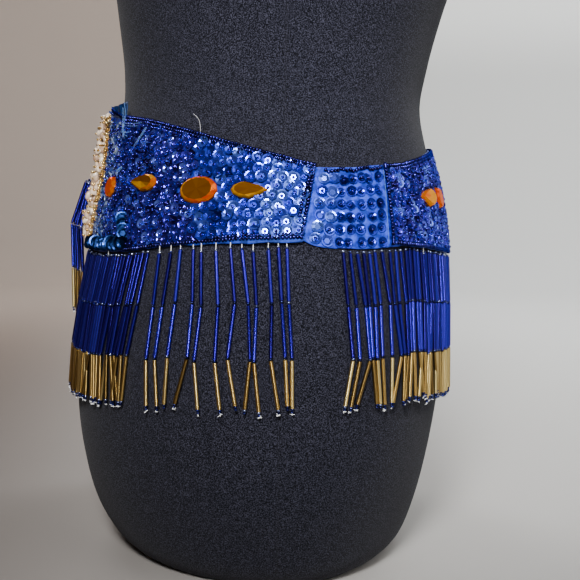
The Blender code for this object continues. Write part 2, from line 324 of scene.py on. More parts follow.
def turnAlong(direction, spin=0.0):
    # the rotation that lays a piece's z along a direction
    return (direction.to_track_quat("Z", "Y") @ Matrix.Rotation(spin, 3, "Z").to_quaternion()).to_euler()


def newTree(name, kind, inputs, outputs):
    tree = bpy.data.node_groups.new(name, kind)
    for label, socket, value in inputs:
        item = tree.interface.new_socket(label, in_out="INPUT", socket_type="NodeSocket" + socket)
        if value is not None:
            item.default_value = value
    for label, socket in outputs:
        tree.interface.new_socket(label, in_out="OUTPUT", socket_type="NodeSocket" + socket)
    return tree, tree.nodes.new("NodeGroupInput"), tree.nodes.new("NodeGroupOutput")


def addNode(tree, kind, values=None, **settings):
    node = tree.nodes.new(kind)
    for key, value in settings.items():
        setattr(node, key, value)
    for socket, value in (values or {}).items():
        node.inputs[socket].default_value = value
    return node


def wire(tree, *links):
    # each link: a node and its output, then a node and its input
    for source, output, target, socket in links:
        tree.links.new(source.outputs[output], target.inputs[socket])


def makeShadeGroup():
    # a colour that runs dark, middle, light over each small piece's own shade
    tree, start, end = newTree("pieceShade", "ShaderNodeTree", [
        ("Dark", "Color", (0, 0, 0, 1)), ("Middle", "Color", (0.5, 0.5, 0.5, 1)),
        ("Light", "Color", (1, 1, 1, 1))], [("Color", "Color")])
    shade = addNode(tree, "ShaderNodeAttribute", attribute_name="shade")
    lower = addNode(tree, "ShaderNodeMapRange", {"From Max": 0.5})
    upper = addNode(tree, "ShaderNodeMapRange", {"From Min": 0.5})
    first = addNode(tree, "ShaderNodeMix", data_type="RGBA")
    second = addNode(tree, "ShaderNodeMix", data_type="RGBA")
    wire(tree, (shade, "Fac", lower, "Value"), (shade, "Fac", upper, "Value"),
         (lower, 0, first, 0), (start, "Dark", first, 6), (start, "Middle", first, 7),
         (upper, 0, second, 0), (first, 2, second, 6), (start, "Light", second, 7),
         (second, 2, end, "Color"))
    return tree


def makeFleckGroup():
    # fine irregular flecks, as a mask and a height
    tree, start, end = newTree("flecks", "ShaderNodeTree", [
        ("Scale", "Float", 500.0), ("Low", "Float", 0.45), ("High", "Float", 0.70)],
        [("Mask", "Float"), ("Height", "Float")])
    place = addNode(tree, "ShaderNodeTexCoord")
    grain = addNode(tree, "ShaderNodeTexNoise", {"Detail": 1.0})
    span = addNode(tree, "ShaderNodeMapRange")
    wire(tree, (place, "Object", grain, "Vector"), (start, "Scale", grain, "Scale"),
         (grain, 0, span, "Value"), (start, "Low", span, "From Min"), (start, "High", span, "From Max"),
         (span, 0, end, "Mask"), (grain, 0, end, "Height"))
    return tree


def makeSatinGroup():
    # satin's long floats: streaks round the belt, over soft puckers
    tree, start, end = newTree("satinFloats", "ShaderNodeTree", [
        ("Streaks", "Float", 2600.0), ("Puckers", "Float", 220.0)],
        [("Height", "Float"), ("Mask", "Float")])
    place = addNode(tree, "ShaderNodeTexCoord")
    stretch = addNode(tree, "ShaderNodeMapping", {"Scale": (0.12, 1.0, 1.0)})
    fine = addNode(tree, "ShaderNodeTexNoise")
    coarse = addNode(tree, "ShaderNodeTexNoise")
    mix = addNode(tree, "ShaderNodeMix", {0: 0.72}, data_type="FLOAT")
    wire(tree, (place, "UV", stretch, "Vector"), (stretch, 0, fine, "Vector"),
         (start, "Streaks", fine, "Scale"), (place, "UV", coarse, "Vector"),
         (start, "Puckers", coarse, "Scale"), (fine, 0, mix, 2), (coarse, 0, mix, 3),
         (mix, 0, end, "Height"), (coarse, 0, end, "Mask"))
    return tree


shadeGroup = makeShadeGroup()
fleckGroup = makeFleckGroup()
satinGroup = makeSatinGroup()


def newMaterial(name, **values):
    material = bpy.data.materials.new(name)
    material.use_nodes = True
    shader = material.node_tree.nodes["Principled BSDF"]
    for key, value in values.items():
        socket = shader.inputs[key.replace("_", " ")]
        socket.default_value = (*value, 1.0) if isinstance(value, tuple) and len(value) == 3 else value
    return material, shader


def addGroup(material, group, **values):
    node = material.node_tree.nodes.new("ShaderNodeGroup")
    node.node_tree = group
    for key, value in values.items():
        node.inputs[key].default_value = (*value, 1.0) if isinstance(value, tuple) else value
    return node


def addBump(material, shader, height, strength, distance):
    bump = addNode(material.node_tree, "ShaderNodeBump", {"Strength": strength, "Distance": distance})
    material.node_tree.links.new(height, bump.inputs["Height"])
    wire(material.node_tree, (bump, 0, shader, "Normal"))


def mixColours(material, mask, dark, light):
    mix = addNode(material.node_tree, "ShaderNodeMix", {6: (*dark, 1.0), 7: (*light, 1.0)},
                  data_type="RGBA")
    material.node_tree.links.new(mask, mix.inputs[0])
    return mix.outputs[2]


def jerseyMaterial():
    material, shader = newMaterial("jersey", Roughness=0.95, Sheen_Weight=0.04, Sheen_Roughness=0.6,
                                   Specular_IOR_Level=0.10)
    flecks = addGroup(material, fleckGroup, Scale=1500.0, Low=0.44, High=0.74)
    colour = mixColours(material, flecks.outputs["Mask"], (0.0009, 0.0010, 0.0030), (0.044, 0.044, 0.067))
    material.node_tree.links.new(colour, shader.inputs["Base Color"])
    addBump(material, shader, flecks.outputs["Height"], 0.3, 0.0003)
    return material


def satinMaterial(name, dark, light, roughness, metallic=0.35):
    material, shader = newMaterial(name, Roughness=roughness, Metallic=metallic,
                                   Specular_Tint=(0.3, 0.55, 1.0), Specular_IOR_Level=0.5)
    floats = addGroup(material, satinGroup)
    span = addNode(material.node_tree, "ShaderNodeMapRange", {"From Min": 0.40, "From Max": 0.60})
    wire(material.node_tree, (floats, "Mask", span, "Value"))
    colour = mixColours(material, span.outputs[0], dark, light)
    material.node_tree.links.new(colour, shader.inputs["Base Color"])
    addBump(material, shader, floats.outputs["Height"], 0.8, 0.0009)
    return material


def pieceMaterial(name, dark, middle, light, metallic, roughness, tint=(1, 1, 1), **values):
    # its three tones, then how it reflects and the tint of what it reflects
    values.update(Metallic=metallic, Roughness=roughness, Specular_Tint=tint)
    material, shader = newMaterial(name, **values)
    shades = addGroup(material, shadeGroup, Dark=dark, Middle=middle, Light=light)
    wire(material.node_tree, (shades, "Color", shader, "Base Color"))
    return material


jersey = jerseyMaterial()
panelSatin = satinMaterial("panelSatin", (0.003, 0.006, 0.090), (0.022, 0.038, 0.440), 0.40)
edgeSatin = satinMaterial("edgeSatin", (0.002, 0.008, 0.110), (0.014, 0.036, 0.320), 0.55, 0.1)
# painted shade: the flaps' satin is a darker copy of the panel satin
shadedFlapSatin = satinMaterial("shadedFlapSatin", (0.002, 0.008, 0.034), (0.012, 0.036, 0.135), 0.40)
tabSatin = satinMaterial("tabSatin", (0.008, 0.019, 0.300), (0.042, 0.075, 0.690), 0.58, 0.1)
sequinFoil = pieceMaterial("sequinFoil", (0.008, 0.009, 0.150), (0.042, 0.062, 0.700),
                           (0.150, 0.270, 1.000), 0.90, 0.16, (0.4, 0.58, 1.0))
smallFoil = pieceMaterial("smallFoil", (0.011, 0.005, 0.070), (0.048, 0.034, 0.480),
                          (0.190, 0.285, 1.000), 0.85, 0.18, (0.3, 0.45, 1.0))
flatFoil = pieceMaterial("flatFoil", (0.003, 0.008, 0.030), (0.006, 0.017, 0.072),
                         (0.024, 0.056, 0.210), 1.0, 0.28, (0.2, 0.35, 0.7))
navyBead = pieceMaterial("navyBead", (0.018, 0.011, 0.080), (0.038, 0.026, 0.250),
                         (0.085, 0.085, 0.640), 0.9, 0.12, (0.3, 0.45, 1.0))
edgeBead = pieceMaterial("edgeBead", (0.011, 0.009, 0.045), (0.022, 0.020, 0.125),
                         (0.045, 0.044, 0.290), 0.95, 0.15, (0.25, 0.35, 0.9))
# painted highlight: the joint beads' light tone is pale, standing in for white glints
jointBead = pieceMaterial("jointBead", (0.010, 0.010, 0.050), (0.020, 0.025, 0.150),
                          (0.450, 0.520, 0.750), 0.8, 0.18, (0.4, 0.5, 1.0))
blueBugle = pieceMaterial("blueBugle", (0.022, 0.011, 0.165), (0.036, 0.018, 0.340),
                          (0.062, 0.044, 0.620), 0.92, 0.20, (0.35, 0.4, 0.95))
paleBugle = pieceMaterial("paleBugle", (0.005, 0.010, 0.100), (0.080, 0.170, 0.560),
                          (0.680, 0.820, 1.000), 0.7, 0.14)
goldBugle = pieceMaterial("goldBugle", (0.225, 0.142, 0.046), (0.590, 0.385, 0.120),
                          (1.000, 0.780, 0.320), 1.0, 0.28, (1.0, 0.85, 0.6))
goldBead = pieceMaterial("goldBead", (0.420, 0.230, 0.050), (0.720, 0.470, 0.140),
                         (0.950, 0.760, 0.380), 0.85, 0.20, Coat_Weight=0.6)
pearl = pieceMaterial("pearl", (0.300, 0.165, 0.090), (0.600, 0.430, 0.300),
                      (0.880, 0.740, 0.590), 0.0, 0.25, Coat_Weight=0.8, Coat_Roughness=0.10)
# painted reflection: the stones' tones stand in for the colours their facets reflect and refract
amberGlass = pieceMaterial("amberGlass", (0.125, 0.032, 0.002), (0.740, 0.330, 0.008),
                           (0.640, 0.060, 0.004), 0.6, 0.08, (1.0, 0.42, 0.10),
                           Specular_IOR_Level=0.02, Transmission_Weight=0.10)
gemFoil = pieceMaterial("gemFoil", (0.10, 0.04, 0.01), (0.45, 0.22, 0.05), (0.55, 0.12, 0.03), 0.30, 0.35)
threadBlue, _ = newMaterial("threadBlue", Base_Color=(0.06, 0.19, 0.46), Roughness=0.6, Sheen_Weight=0.4)
threadWhite, _ = newMaterial("threadWhite", Base_Color=(0.80, 0.80, 0.80), Roughness=0.7,
                             Sheen_Weight=0.4)
print("materials made")


def makePiecesTree():
    # one small piece on each point, turned and sized by the point's own attributes
    tree, start, end = newTree("piecesOnPoints", "GeometryNodeTree", [
        ("Geometry", "Geometry", None), ("Piece", "Object", None), ("Tilt", "Float", 0.0),
        ("Seed", "Int", 1), ("Material", "Material", None)], [("Geometry", "Geometry")])
    piece = addNode(tree, "GeometryNodeObjectInfo")
    turn = addNode(tree, "GeometryNodeInputNamedAttribute", {"Name": "turn"}, data_type="FLOAT_VECTOR")
    size = addNode(tree, "GeometryNodeInputNamedAttribute", {"Name": "size"}, data_type="FLOAT_VECTOR")
    place = addNode(tree, "GeometryNodeInstanceOnPoints")
    least = addNode(tree, "ShaderNodeMath", {1: -1.0}, operation="MULTIPLY")
    low, high = addNode(tree, "ShaderNodeCombineXYZ"), addNode(tree, "ShaderNodeCombineXYZ")
    chance = addNode(tree, "FunctionNodeRandomValue", data_type="FLOAT_VECTOR")
    rock = addNode(tree, "GeometryNodeRotateInstances")
    real = addNode(tree, "GeometryNodeRealizeInstances")
    paint = addNode(tree, "GeometryNodeSetMaterial")
    wire(tree, (start, "Geometry", place, "Points"), (start, "Piece", piece, "Object"),
         (piece, "Geometry", place, "Instance"), (turn, "Attribute", place, "Rotation"),
         (size, "Attribute", place, "Scale"), (start, "Tilt", least, 0), (least, 0, low, 0),
         (least, 0, low, 1), (start, "Tilt", high, 0), (start, "Tilt", high, 1), (low, 0, chance, 0),
         (high, 0, chance, 1), (start, "Seed", chance, "Seed"), (place, 0, rock, "Instances"),
         (chance, 0, rock, "Rotation"), (rock, 0, real, 0), (real, 0, paint, "Geometry"),
         (start, "Material", paint, "Material"), (paint, 0, end, 0))
    return tree


def makeBeadsTree():
    # beads threaded along the source's edges, a pitch apart
    tree, start, end = newTree("beadsAlongPath", "GeometryNodeTree", [
        ("Geometry", "Geometry", None), ("Bead", "Object", None), ("Pitch", "Float", 0.0018),
        ("Diameter", "Float", 0.0018), ("Jitter", "Float", 0.0001), ("Seed", "Int", 1),
        ("Material", "Material", None)], [("Geometry", "Geometry")])
    bead = addNode(tree, "GeometryNodeObjectInfo")
    curve = addNode(tree, "GeometryNodeMeshToCurve")
    spread = addNode(tree, "GeometryNodeResampleCurve", mode="LENGTH")
    along = addNode(tree, "GeometryNodeInputTangent")
    align = addNode(tree, "FunctionNodeAlignRotationToVector", axis="Z")
    least = addNode(tree, "ShaderNodeMath", {1: -1.0}, operation="MULTIPLY")
    chance = addNode(tree, "FunctionNodeRandomValue", data_type="FLOAT_VECTOR")
    shift = addNode(tree, "GeometryNodeSetPosition")
    shade = addNode(tree, "FunctionNodeRandomValue", data_type="FLOAT")
    keep = addNode(tree, "GeometryNodeStoreNamedAttribute", {"Name": "shade"}, data_type="FLOAT",
                   domain="POINT")
    place = addNode(tree, "GeometryNodeInstanceOnPoints")
    real = addNode(tree, "GeometryNodeRealizeInstances")
    paint = addNode(tree, "GeometryNodeSetMaterial")
    wire(tree, (start, "Geometry", curve, 0), (curve, 0, spread, "Curve"),
         (start, "Pitch", spread, "Length"), (start, "Bead", bead, "Object"),
         (along, 0, align, "Vector"), (start, "Jitter", least, 0), (least, 0, chance, 0),
         (start, "Jitter", chance, 1), (start, "Seed", chance, "Seed"),
         (spread, 0, shift, "Geometry"), (chance, 0, shift, "Offset"),
         (start, "Seed", shade, "Seed"), (shift, 0, keep, "Geometry"), (shade, 1, keep, "Value"),
         (keep, 0, place, "Points"), (bead, "Geometry", place, "Instance"),
         (align, 0, place, "Rotation"), (start, "Diameter", place, "Scale"), (place, 0, real, 0),
         (real, 0, paint, "Geometry"), (start, "Material", paint, "Material"), (paint, 0, end, 0))
    return tree


piecesTree = makePiecesTree()
beadsTree = makeBeadsTree()


def growPiece(name, source, tree, values):
    modifier = source.modifiers.new(name, "NODES")
    modifier.node_group = tree
    for item in tree.interface.items_tree:
        if item.item_type == "SOCKET" and item.in_out == "INPUT" and item.name in values:
            modifier[item.identifier] = values[item.name]
    bpy.context.view_layer.update()
    evaluated = source.evaluated_get(bpy.context.evaluated_depsgraph_get())
    made = linkObject(name, bpy.data.meshes.new_from_object(evaluated))
    source.modifiers.remove(modifier)
    bpy.data.objects.remove(source)
    return made


def growOnPoints(name, part, points, material, tilt, seed, slot, *nodes):
    # points: place, turn, size, shade
    if not points:
        return
    mesh = bpy.data.meshes.new(name + "Points")
    mesh.from_pydata([p[0] for p in points], [], [])
    for label, column in (("turn", 1), ("size", 2)):
        layer = mesh.attributes.new(label, "FLOAT_VECTOR", "POINT")
        layer.data.foreach_set("vector", [value for p in points for value in p[column]])
    mesh.attributes.new("shade", "FLOAT", "POINT").data.foreach_set("value", [p[3] for p in points])
    piece = growPiece(name, linkObject(name + "Points", mesh), piecesTree,
                      {"Piece": parts[part], "Tilt": tilt, "Seed": seed, "Material": material})
    finishPiece(piece, slot, *nodes)


def growAlong(name, paths, seed, node):
    verts, edges = [], []
    for path in paths:
        first = len(verts)
        verts += path
        edges += [(first + i, first + i + 1) for i in range(len(path) - 1)]
    mesh = bpy.data.meshes.new(name + "Path")
    mesh.from_pydata(verts, edges, [])
    row = growPiece(name, linkObject(name + "Path", mesh), beadsTree,
                    {"Bead": parts["bead"], "Pitch": beadRows["pitch"], "Diameter": beadRows["diameter"],
                     "Jitter": beadRows["jitter"], "Seed": seed, "Material": edgeBead})
    finishPiece(row, "seed_beads", node)


def ringPlaces(radius, z, sides):
    turns = [2 * math.pi * i / sides for i in range(sides)]
    return [(radius * math.cos(turn), radius * math.sin(turn), z) for turn in turns]


def bandFaces(a, b, sides):
    # quads between two closed rings that start at these two vertices
    turns = [(i, (i + 1) % sides) for i in range(sides)]
    return [(a + i, a + k, b + k, b + i) for i, k in turns]


def roundBead(name, segments, rings, squash=1.0):
    # one unit across, its poles on z and its first meridian on y
    verts = [(0, 0, 0.5 * squash)]
    for ring in range(1, rings):
        turn = math.pi * ring / rings
        places = ringPlaces(0.5 * math.sin(turn), 0.5 * squash * math.cos(turn), segments)
        verts += [(y, x, z) for x, y, z in places]
    verts.append((0, 0, -0.5 * squash))
    last, lowest = len(verts) - 1, len(verts) - 1 - segments
    faces = []
    for i in range(segments):
        k = (i + 1) % segments
        faces += [(0, 1 + i, 1 + k), (last, lowest + k, lowest + i)]
    for ring in range(rings - 2):
        faces += bandFaces(1 + (ring + 1) * segments, 1 + ring * segments, segments)
    bead = meshFrom(name, verts, faces)
    outwardFaces(bead)
    return bead


def bugleBead(sides=8, hole=0.24):
    # a tube one unit long along z and one unit across, open from end to end
    verts, faces = [], []
    for radius, z in ((0.5, -0.5), (0.5, 0.5), (hole, 0.5), (hole, -0.5)):
        verts += ringPlaces(radius, z, sides)
    for r in range(4):
        faces += bandFaces(r * sides, (r + 1) % 4 * sides, sides)
    thing = meshFrom("bugleBeadPart", verts, faces)
    outwardFaces(thing)
    thing.data.set_sharp_from_angle(angle=math.radians(60))
    return thing


def cupSequin(thickness=0.035):
    # a cupped disc one unit across: a flat hexagon, a ring of facets and a flatter rim
    verts = []
    for drop in (0.0, -thickness):
        for radius, rise, sides in ((0.5, 0.12, 12), (0.40, 0.10, 12), (0.24, 0.0, 6)):
            verts += ringPlaces(radius, rise + drop, sides)
    top = []
    for i in range(6):
        k, a, b, c = 24 + (i + 1) % 6, 12 + 2 * i, 13 + 2 * i, 12 + (2 * i + 2) % 12
        top += [(24 + i, a, b), (24 + i, b, k), (k, b, c)]
    top += [(12 + i, i, (i + 1) % 12, 12 + (i + 1) % 12) for i in range(12)]
    top.append(tuple(range(24, 30)))
    faces = top + [tuple(30 + v for v in reversed(face)) for face in top]
    faces += [(i, 30 + i, 30 + (i + 1) % 12, (i + 1) % 12) for i in range(12)]
    thing = meshFrom("cupSequinPart", verts, faces, smooth=False)
    outwardFaces(thing)
    return thing


def threadTuft():
    # a cut knot: short crossing thread ends, one unit long
    verts, faces = [], []
    rng = random.Random(5)
    for _ in range(4):
        tip = Vector((rng.uniform(-1, 1), rng.uniform(-1, 1), rng.uniform(-1.2, 0.2))).normalized()
        side = tip.orthogonal().normalized() * 0.09
        other = tip.cross(side)
        first = len(verts)
        for centre, width in ((-0.25 * tip, 1.0), (0.55 * tip, 0.8)):
            verts += [centre + way * width for way in (side, other, -side, -other)]
        faces += bandFaces(first, first + 4, 4)
        faces += [(first + 3, first + 2, first + 1, first), (first + 4, first + 5, first + 6, first + 7)]
    thing = meshFrom("threadTuftPart", verts, faces)
    outwardFaces(thing)
    return thing


parts = {"bead": roundBead("seedBeadPart", 7, 4, 0.78), "bugle": bugleBead(), "sequin": cupSequin(),
         "pearl": roundBead("ricePearlPart", 10, 7), "tuft": threadTuft()}


dressForm = {"columns": 168, "ringStep": 0.005, "seamDepth": 0.0007, "seamWidth": 0.35}


def buildDressForm():
    # angles, closer together at the two side seams
    step = 360 / dressForm["columns"]
    angles = [i * step for i in range(dressForm["columns"])]
    for seam in (90, 270):
        angles += [seam + side * dressForm["seamWidth"] for side in (-2, -1, 1, 2)]
    angles = sorted(set(angles))
    rows = skin["sections"]
    heights = [rows[0][0]]
    for low, high in zip(rows, rows[1:]):
        count = math.ceil((high[0] - low[0]) / dressForm["ringStep"] - 0.01)
        heights += [low[0] + (high[0] - low[0]) * (i + 1) / count for i in range(count)]
    verts, faces = [], []
    for height in heights:
        for angle in angles:
            toSeam = min(abs(angle - 90), abs(angle - 270)) / dressForm["seamWidth"]
            verts.append(skinPoint(angle, height, -dressForm["seamDepth"] * math.exp(-toSeam * toSeam)))
    n = len(angles)
    for j in range(len(heights) - 1):
        faces += bandFaces(j * n, (j + 1) * n, n)
    faces.append(tuple(range(n)))
    faces.append(tuple(range((len(heights) - 1) * n, len(heights) * n)))
    form = meshFrom("dressForm", verts, faces, jersey)
    outwardFaces(form)
    form.data.set_sharp_from_angle(angle=math.radians(50))
    finishPiece(form, "form_jersey", "dress_form")


buildDressForm()
print("dress form made")


# the tab's sequins: a loose grid that follows the back panel's slanted end
tabWork = {
    "columns": 7,
    "rows": 6,
    "size": 0.0064,
    # painted reflection and shade: the columns nearest the back panel get light shades and the rest dark
    # ones; the light ones are also larger and mostly without beads
    "lightColumns": 2,               # those nearest the back panel are lighter and larger
    "lightSize": 0.0072,
    "beadSize": 0.0024,
    "tilt": 0.22,
    "dip": 0.0012,                   # how far a stitch draws the satin in, and how wide
    "dipWidth": 0.0034,
    "underBack": 1.4,                # degrees the grid runs in under the back panel's end
    "pastFront": 0.9,                # degrees it stops short of the front panel's end
    "bottomMargin": 0.0004,
    "topMargin": 0.0026,
    "angleJitter": 0.40,
    "heightJitter": 0.0006,
    "sag": 0.0008,
}


def layTabSequins():
    rng = random.Random(8)
    places = []
    for column in range(tabWork["columns"]):
        for row in range(tabWork["rows"]):
            v = (row + 0.5) / tabWork["rows"]
            u = (column + 0.5) / tabWork["columns"]
            first = backEndAngle(v) - tabWork["underBack"]
            angle = first + (belt["frontEnd"] + tabWork["pastFront"] - first) * u
            angle += rng.uniform(-1, 1) * tabWork["angleJitter"]
            low, high = tabBottom(angle) + tabWork["bottomMargin"], tabTop(angle) - tabWork["topMargin"]
            height = low + (high - low) * v + rng.uniform(-1, 1) * tabWork["heightJitter"]
            places.append((angle, height - tabWork["sag"] * math.sin(u * 3), column))
    return places


tabPlaces = layTabSequins()


def tabDip(angle, height):
    # each sequin is drawn down into the satin by its stitch
    depth = 0.0
    for a, z, _column in tabPlaces:
        if abs(a - angle) < 4:
            away = math.hypot(arcAt(a) - arcAt(angle), z - height) / tabWork["dipWidth"]
            depth += tabWork["dip"] * math.exp(-away * away)
    return depth


# soft troughs in the cloth, each listed: from and to as angle and height, depth, width
panelCreases = (
    (116.0, 0.2790, 121.0, 0.2480, 0.0006, 0.0022),
    (139.0, 0.2880, 132.0, 0.2420, 0.0007, 0.0026),
    (150.0, 0.2900, 146.0, 0.2660, 0.0008, 0.0020),
    (102.0, 0.2110, 108.0, 0.2300, 0.0005, 0.0024),
    (222.0, 0.2850, 228.0, 0.2380, 0.0007, 0.0025),
    (243.0, 0.2740, 238.0, 0.2440, 0.0006, 0.0022),
    (259.0, 0.2110, 254.0, 0.2330, 0.0005, 0.0024),
    (12.0, 0.2720, 18.0, 0.2300, 0.0006, 0.0024),
    (-24.0, 0.2690, -17.0, 0.2280, 0.0006, 0.0026),
    (-58.0, 0.2560, -52.0, 0.2270, 0.0005, 0.0022),
)
tabCreases = (
    (84.0, 0.2480, 77.5, 0.2150, 0.0005, 0.0018),
    (79.0, 0.2540, 75.0, 0.2390, 0.0005, 0.0015),
    (76.5, 0.2280, 66.0, 0.2230, 0.0004, 0.0016),
    (74.0, 0.2100, 71.5, 0.2210, 0.0005, 0.0016),
    (67.0, 0.2095, 65.0, 0.2190, 0.0005, 0.0014),
    (61.0, 0.2100, 62.5, 0.2230, 0.0005, 0.0015),
    (57.0, 0.2540, 59.5, 0.2380, 0.0005, 0.0016),
    (68.0, 0.2540, 70.0, 0.2440, 0.0004, 0.0014),
)


def creaseDepth(creases, angle, height):
    here, depth, reach = Vector((arcAt(angle), height)), 0.0, 8
    for a1, z1, a2, z2, deep, wide in creases:
        if min(a1, a2) - reach < angle < max(a1, a2) + reach:
            start, end = Vector((arcAt(a1), z1)), Vector((arcAt(a2), z2))
            along = clamp((here - start).dot(end - start) / (end - start).length_squared)
            away = (here - start - (end - start) * along).length / wide
            depth += deep * math.exp(-away * away) * math.sin(math.pi * (0.15 + 0.7 * along))
    return depth


def panelRelief(angle, height):
    return -creaseDepth(panelCreases, angle, height)


def tabRelief(angle, height):
    return tabWork["dip"] * 0.5 - tabDip(angle, height) - creaseDepth(tabCreases, angle, height)


def noRelief(_angle, _height):
    return 0.0


def layUvs(thing, uvs):
    layer = thing.data.uv_layers.new(name="cloth")
    for loop in thing.data.loops:
        layer.data[loop.index].uv = uvs[loop.vertex_index]


def clothWall(name, ends, low, high, inner, thickness, relief, rows, stepArc, wave, material):
    # a cloth wall round the form with rounded edges, and a UV map in metres
    rim = (0.0, 0.006, 0.02)         # shares of the height, close together where the edge rounds
    waveScale, grainScale, grainDepth, leastOut = 95, 260, 0.00012, 0.0003
    inside = [rim[2] + (1 - 2 * rim[2]) * i / rows for i in range(1, rows)]
    levels = list(rim) + inside + [1 - v for v in reversed(rim)]
    profile = [(v, 1) for v in levels] + [(v, 0) for v in reversed(levels)]
    length = arcAt(max(ends(0)[1], ends(1)[1])) - arcAt(min(ends(0)[0], ends(1)[0]))
    columns = math.ceil(length / stepArc)
    verts, uvs, faces = [], [], []
    for i in range(columns + 1):
        for v, side in profile:
            first, last = ends(v)
            angle = first + (last - first) * i / columns
            arc, bottom, top = arcAt(angle), low(angle), high(angle)
            height = bottom + (top - bottom) * v
            edge = min(v, 1 - v) / rim[2]
            fullness = math.sqrt(1 - (1 - min(edge, 1)) ** 2)
            ripple = wave * noise.noise(Vector((arc * waveScale, v * 2.0, 3.1))) * (1 - ease(edge / 6))
            out = inner(angle) + thickness * (0.5 + (side - 0.5) * fullness)
            if side:
                out += relief(angle, height)
                out += grainDepth * noise.noise(Vector((arc * grainScale, height * grainScale, 0)))
            verts.append(skinPoint(angle, height + ripple, max(out + abs(ripple) * 0.4, leastOut)))
            uvs.append((arc, height))
    n = len(profile)
    for i in range(columns):
        faces += bandFaces(i * n, (i + 1) * n, n)
    faces += [tuple(range(n)), tuple(range(columns * n, (columns + 1) * n))]
    wall = meshFrom(name, verts, faces, material)
    outwardFaces(wall)
    layUvs(wall, uvs)
    wall.data.set_sharp_from_angle(angle=math.radians(70))
    return wall


def cutArea(first, last, low, high):
    # flat area of a band, from its length and its height at each degree
    total, angle = 0.0, first
    while angle < last:
        far = min(angle + 1, last)
        total += (arcAt(far) - arcAt(angle)) * (high(angle) - low(angle))
        angle = far
    return total


# how each cloth's mesh is laid: rows up it, the step round it, and how far its edges wave
weave = {
    "backPanel": (18, 0.0020, 0.0005),
    "frontPanel": (16, 0.0020, 0.0005),
    "closureTab": (34, 0.0011, 0.0007),
    "edgeStrips": (3, 0.0016, 0.0009),
}


def buildCloth():
    seam, half = belt["leftSeam"], belt["seamHalfGap"]
    panelShape = (panelBottom, panelTop, panelInner, belt["panelCloth"], panelRelief)
    tabShape = (tabBottom, tabTop, lambda angle: belt["clearance"], belt["tabCloth"], tabRelief)
    walls = (
        ("backPanel", "belt_satin", "back_panel", lambda v: (backEndAngle(v), seam - half),
         (*panelShape, *weave["backPanel"], panelSatin), belt["backEndBottom"], seam),
        ("frontPanel", "belt_satin", "front_panel", lambda v: (seam - 360 + half, belt["frontEnd"]),
         (*panelShape, *weave["frontPanel"], panelSatin), seam - 360, belt["frontEnd"]),
        ("closureTab", "tab_satin", "closure_tab", lambda v: (belt["tabFrontEnd"], belt["tabBackEnd"]),
         (*tabShape, *weave["closureTab"], tabSatin), belt["tabFrontEnd"], belt["tabBackEnd"]),
    )
    for name, slot, node, ends, shape, first, last in walls:
        piece = finishPiece(clothWall(name, ends, *shape), slot, node)
        low, high = shape[:2]
        degrees = range(int(first), int(last))
        deep = max(high(a) for a in degrees) - min(low(a) for a in degrees)
        length, area = arcAt(last) - arcAt(first), cutArea(first, last, low, high)
        print(name, "flat", round(length, 3), round(deep, 3), "area", round(area, 5))


# lighter turned satin that shows below the bottom beads and beside the front panel's end
edgeStrips = {
    "spans": (
        ("backEdgeStrip", belt["backEndBottom"] + 0.3, 116.0),
        ("leftEdgeStrip", 244.0, belt["leftSeam"] - 0.3),
        ("farFrontEdgeStrip", belt["leftSeam"] - 359.7, -27.0),
        ("frontEdgeStrip", 27.0, belt["frontEnd"] - 0.2),
    ),
    "offBottom": 0.0002,
    "underBeads": 0.0008,            # how far it runs up behind the bottom beads
    "thickness": 0.0005,
}


def buildEdgeStrips():
    def low(angle):
        return panelBottom(angle) + edgeStrips["offBottom"]

    def high(angle):
        return beadRowBottom(angle) + edgeStrips["underBeads"]

    for name, *span in edgeStrips["spans"]:
        strip = clothWall(name, lambda _v: span, low, high, panelFace, edgeStrips["thickness"],
                          noRelief, *weave["edgeStrips"], edgeSatin)
        finishPiece(strip, "tab_satin")


# satin that stands up off the top edge by each braid
cornerFlaps = {
    "from": 145.0,
    "to": 159.0,
    "columns": 22,
    "rows": 6,
    "rise": 0.0095,
    "root": 0.0028,                  # how far below the panel's edge it starts
    "flare": 0.0034,
    "fold": 0.0012,
    "thickness": 0.0005,
    "cutHeight": 0.0130,
    "cutShare": 0.72,                # cloth left of its cut rectangle
}


def buildCornerFlaps():
    columns, rows, root = cornerFlaps["columns"], cornerFlaps["rows"], cornerFlaps["root"]
    for name, mirrored in (("cornerFlapRight", False), ("cornerFlapLeft", True)):
        verts, uvs = [], []
        for side in (0, 1):
            for i in range(columns + 1):
                u = i / columns
                angle = cornerFlaps["from"] + (cornerFlaps["to"] - cornerFlaps["from"]) * u
                turn = 360 - angle if mirrored else angle
                peak = ease(8 * u + 0.3) * (1 - 0.85 * ease((u - 0.02) / 0.85))
                peak *= 0.92 + 0.08 * math.sin(u * 14)
                for j in range(rows + 1):
                    v = j / rows
                    fold = cornerFlaps["fold"] * math.sin(u * 19 + v * 2.0) * v
                    height = panelTop(angle) - root + (root + cornerFlaps["rise"] * peak) * v
                    out = 0.0003 + cornerFlaps["flare"] * ease(u * 1.5) * v * v * peak + fold
                    out = panelFace(angle) + max(out, 0) + cornerFlaps["thickness"] * side
                    verts.append(skinPoint(turn, height, out))
                    uvs.append((arcAt(turn), height))
        n, step = (columns + 1) * (rows + 1), rows + 1
        faces = []
        for i in range(columns):
            for j in range(rows):
                a = i * step + j
                b = a + step
                faces += [(a, b, b + 1, a + 1), (n + a, n + a + 1, n + b + 1, n + b)]
        rim = [i * step for i in range(columns + 1)] + [columns * step + j for j in range(1, rows + 1)]
        rim += [i * step + rows for i in range(columns - 1, -1, -1)] + list(range(rows - 1, 0, -1))
        faces += [(a, b, n + b, n + a) for a, b in zip(rim, rim[1:] + rim[:1])]
        flap = meshFrom(name, verts, faces, shadedFlapSatin)
        outwardFaces(flap)
        layUvs(flap, uvs)
        finishPiece(flap, "belt_satin")


buildCloth()
buildEdgeStrips()
buildCornerFlaps()
print("cloth made")


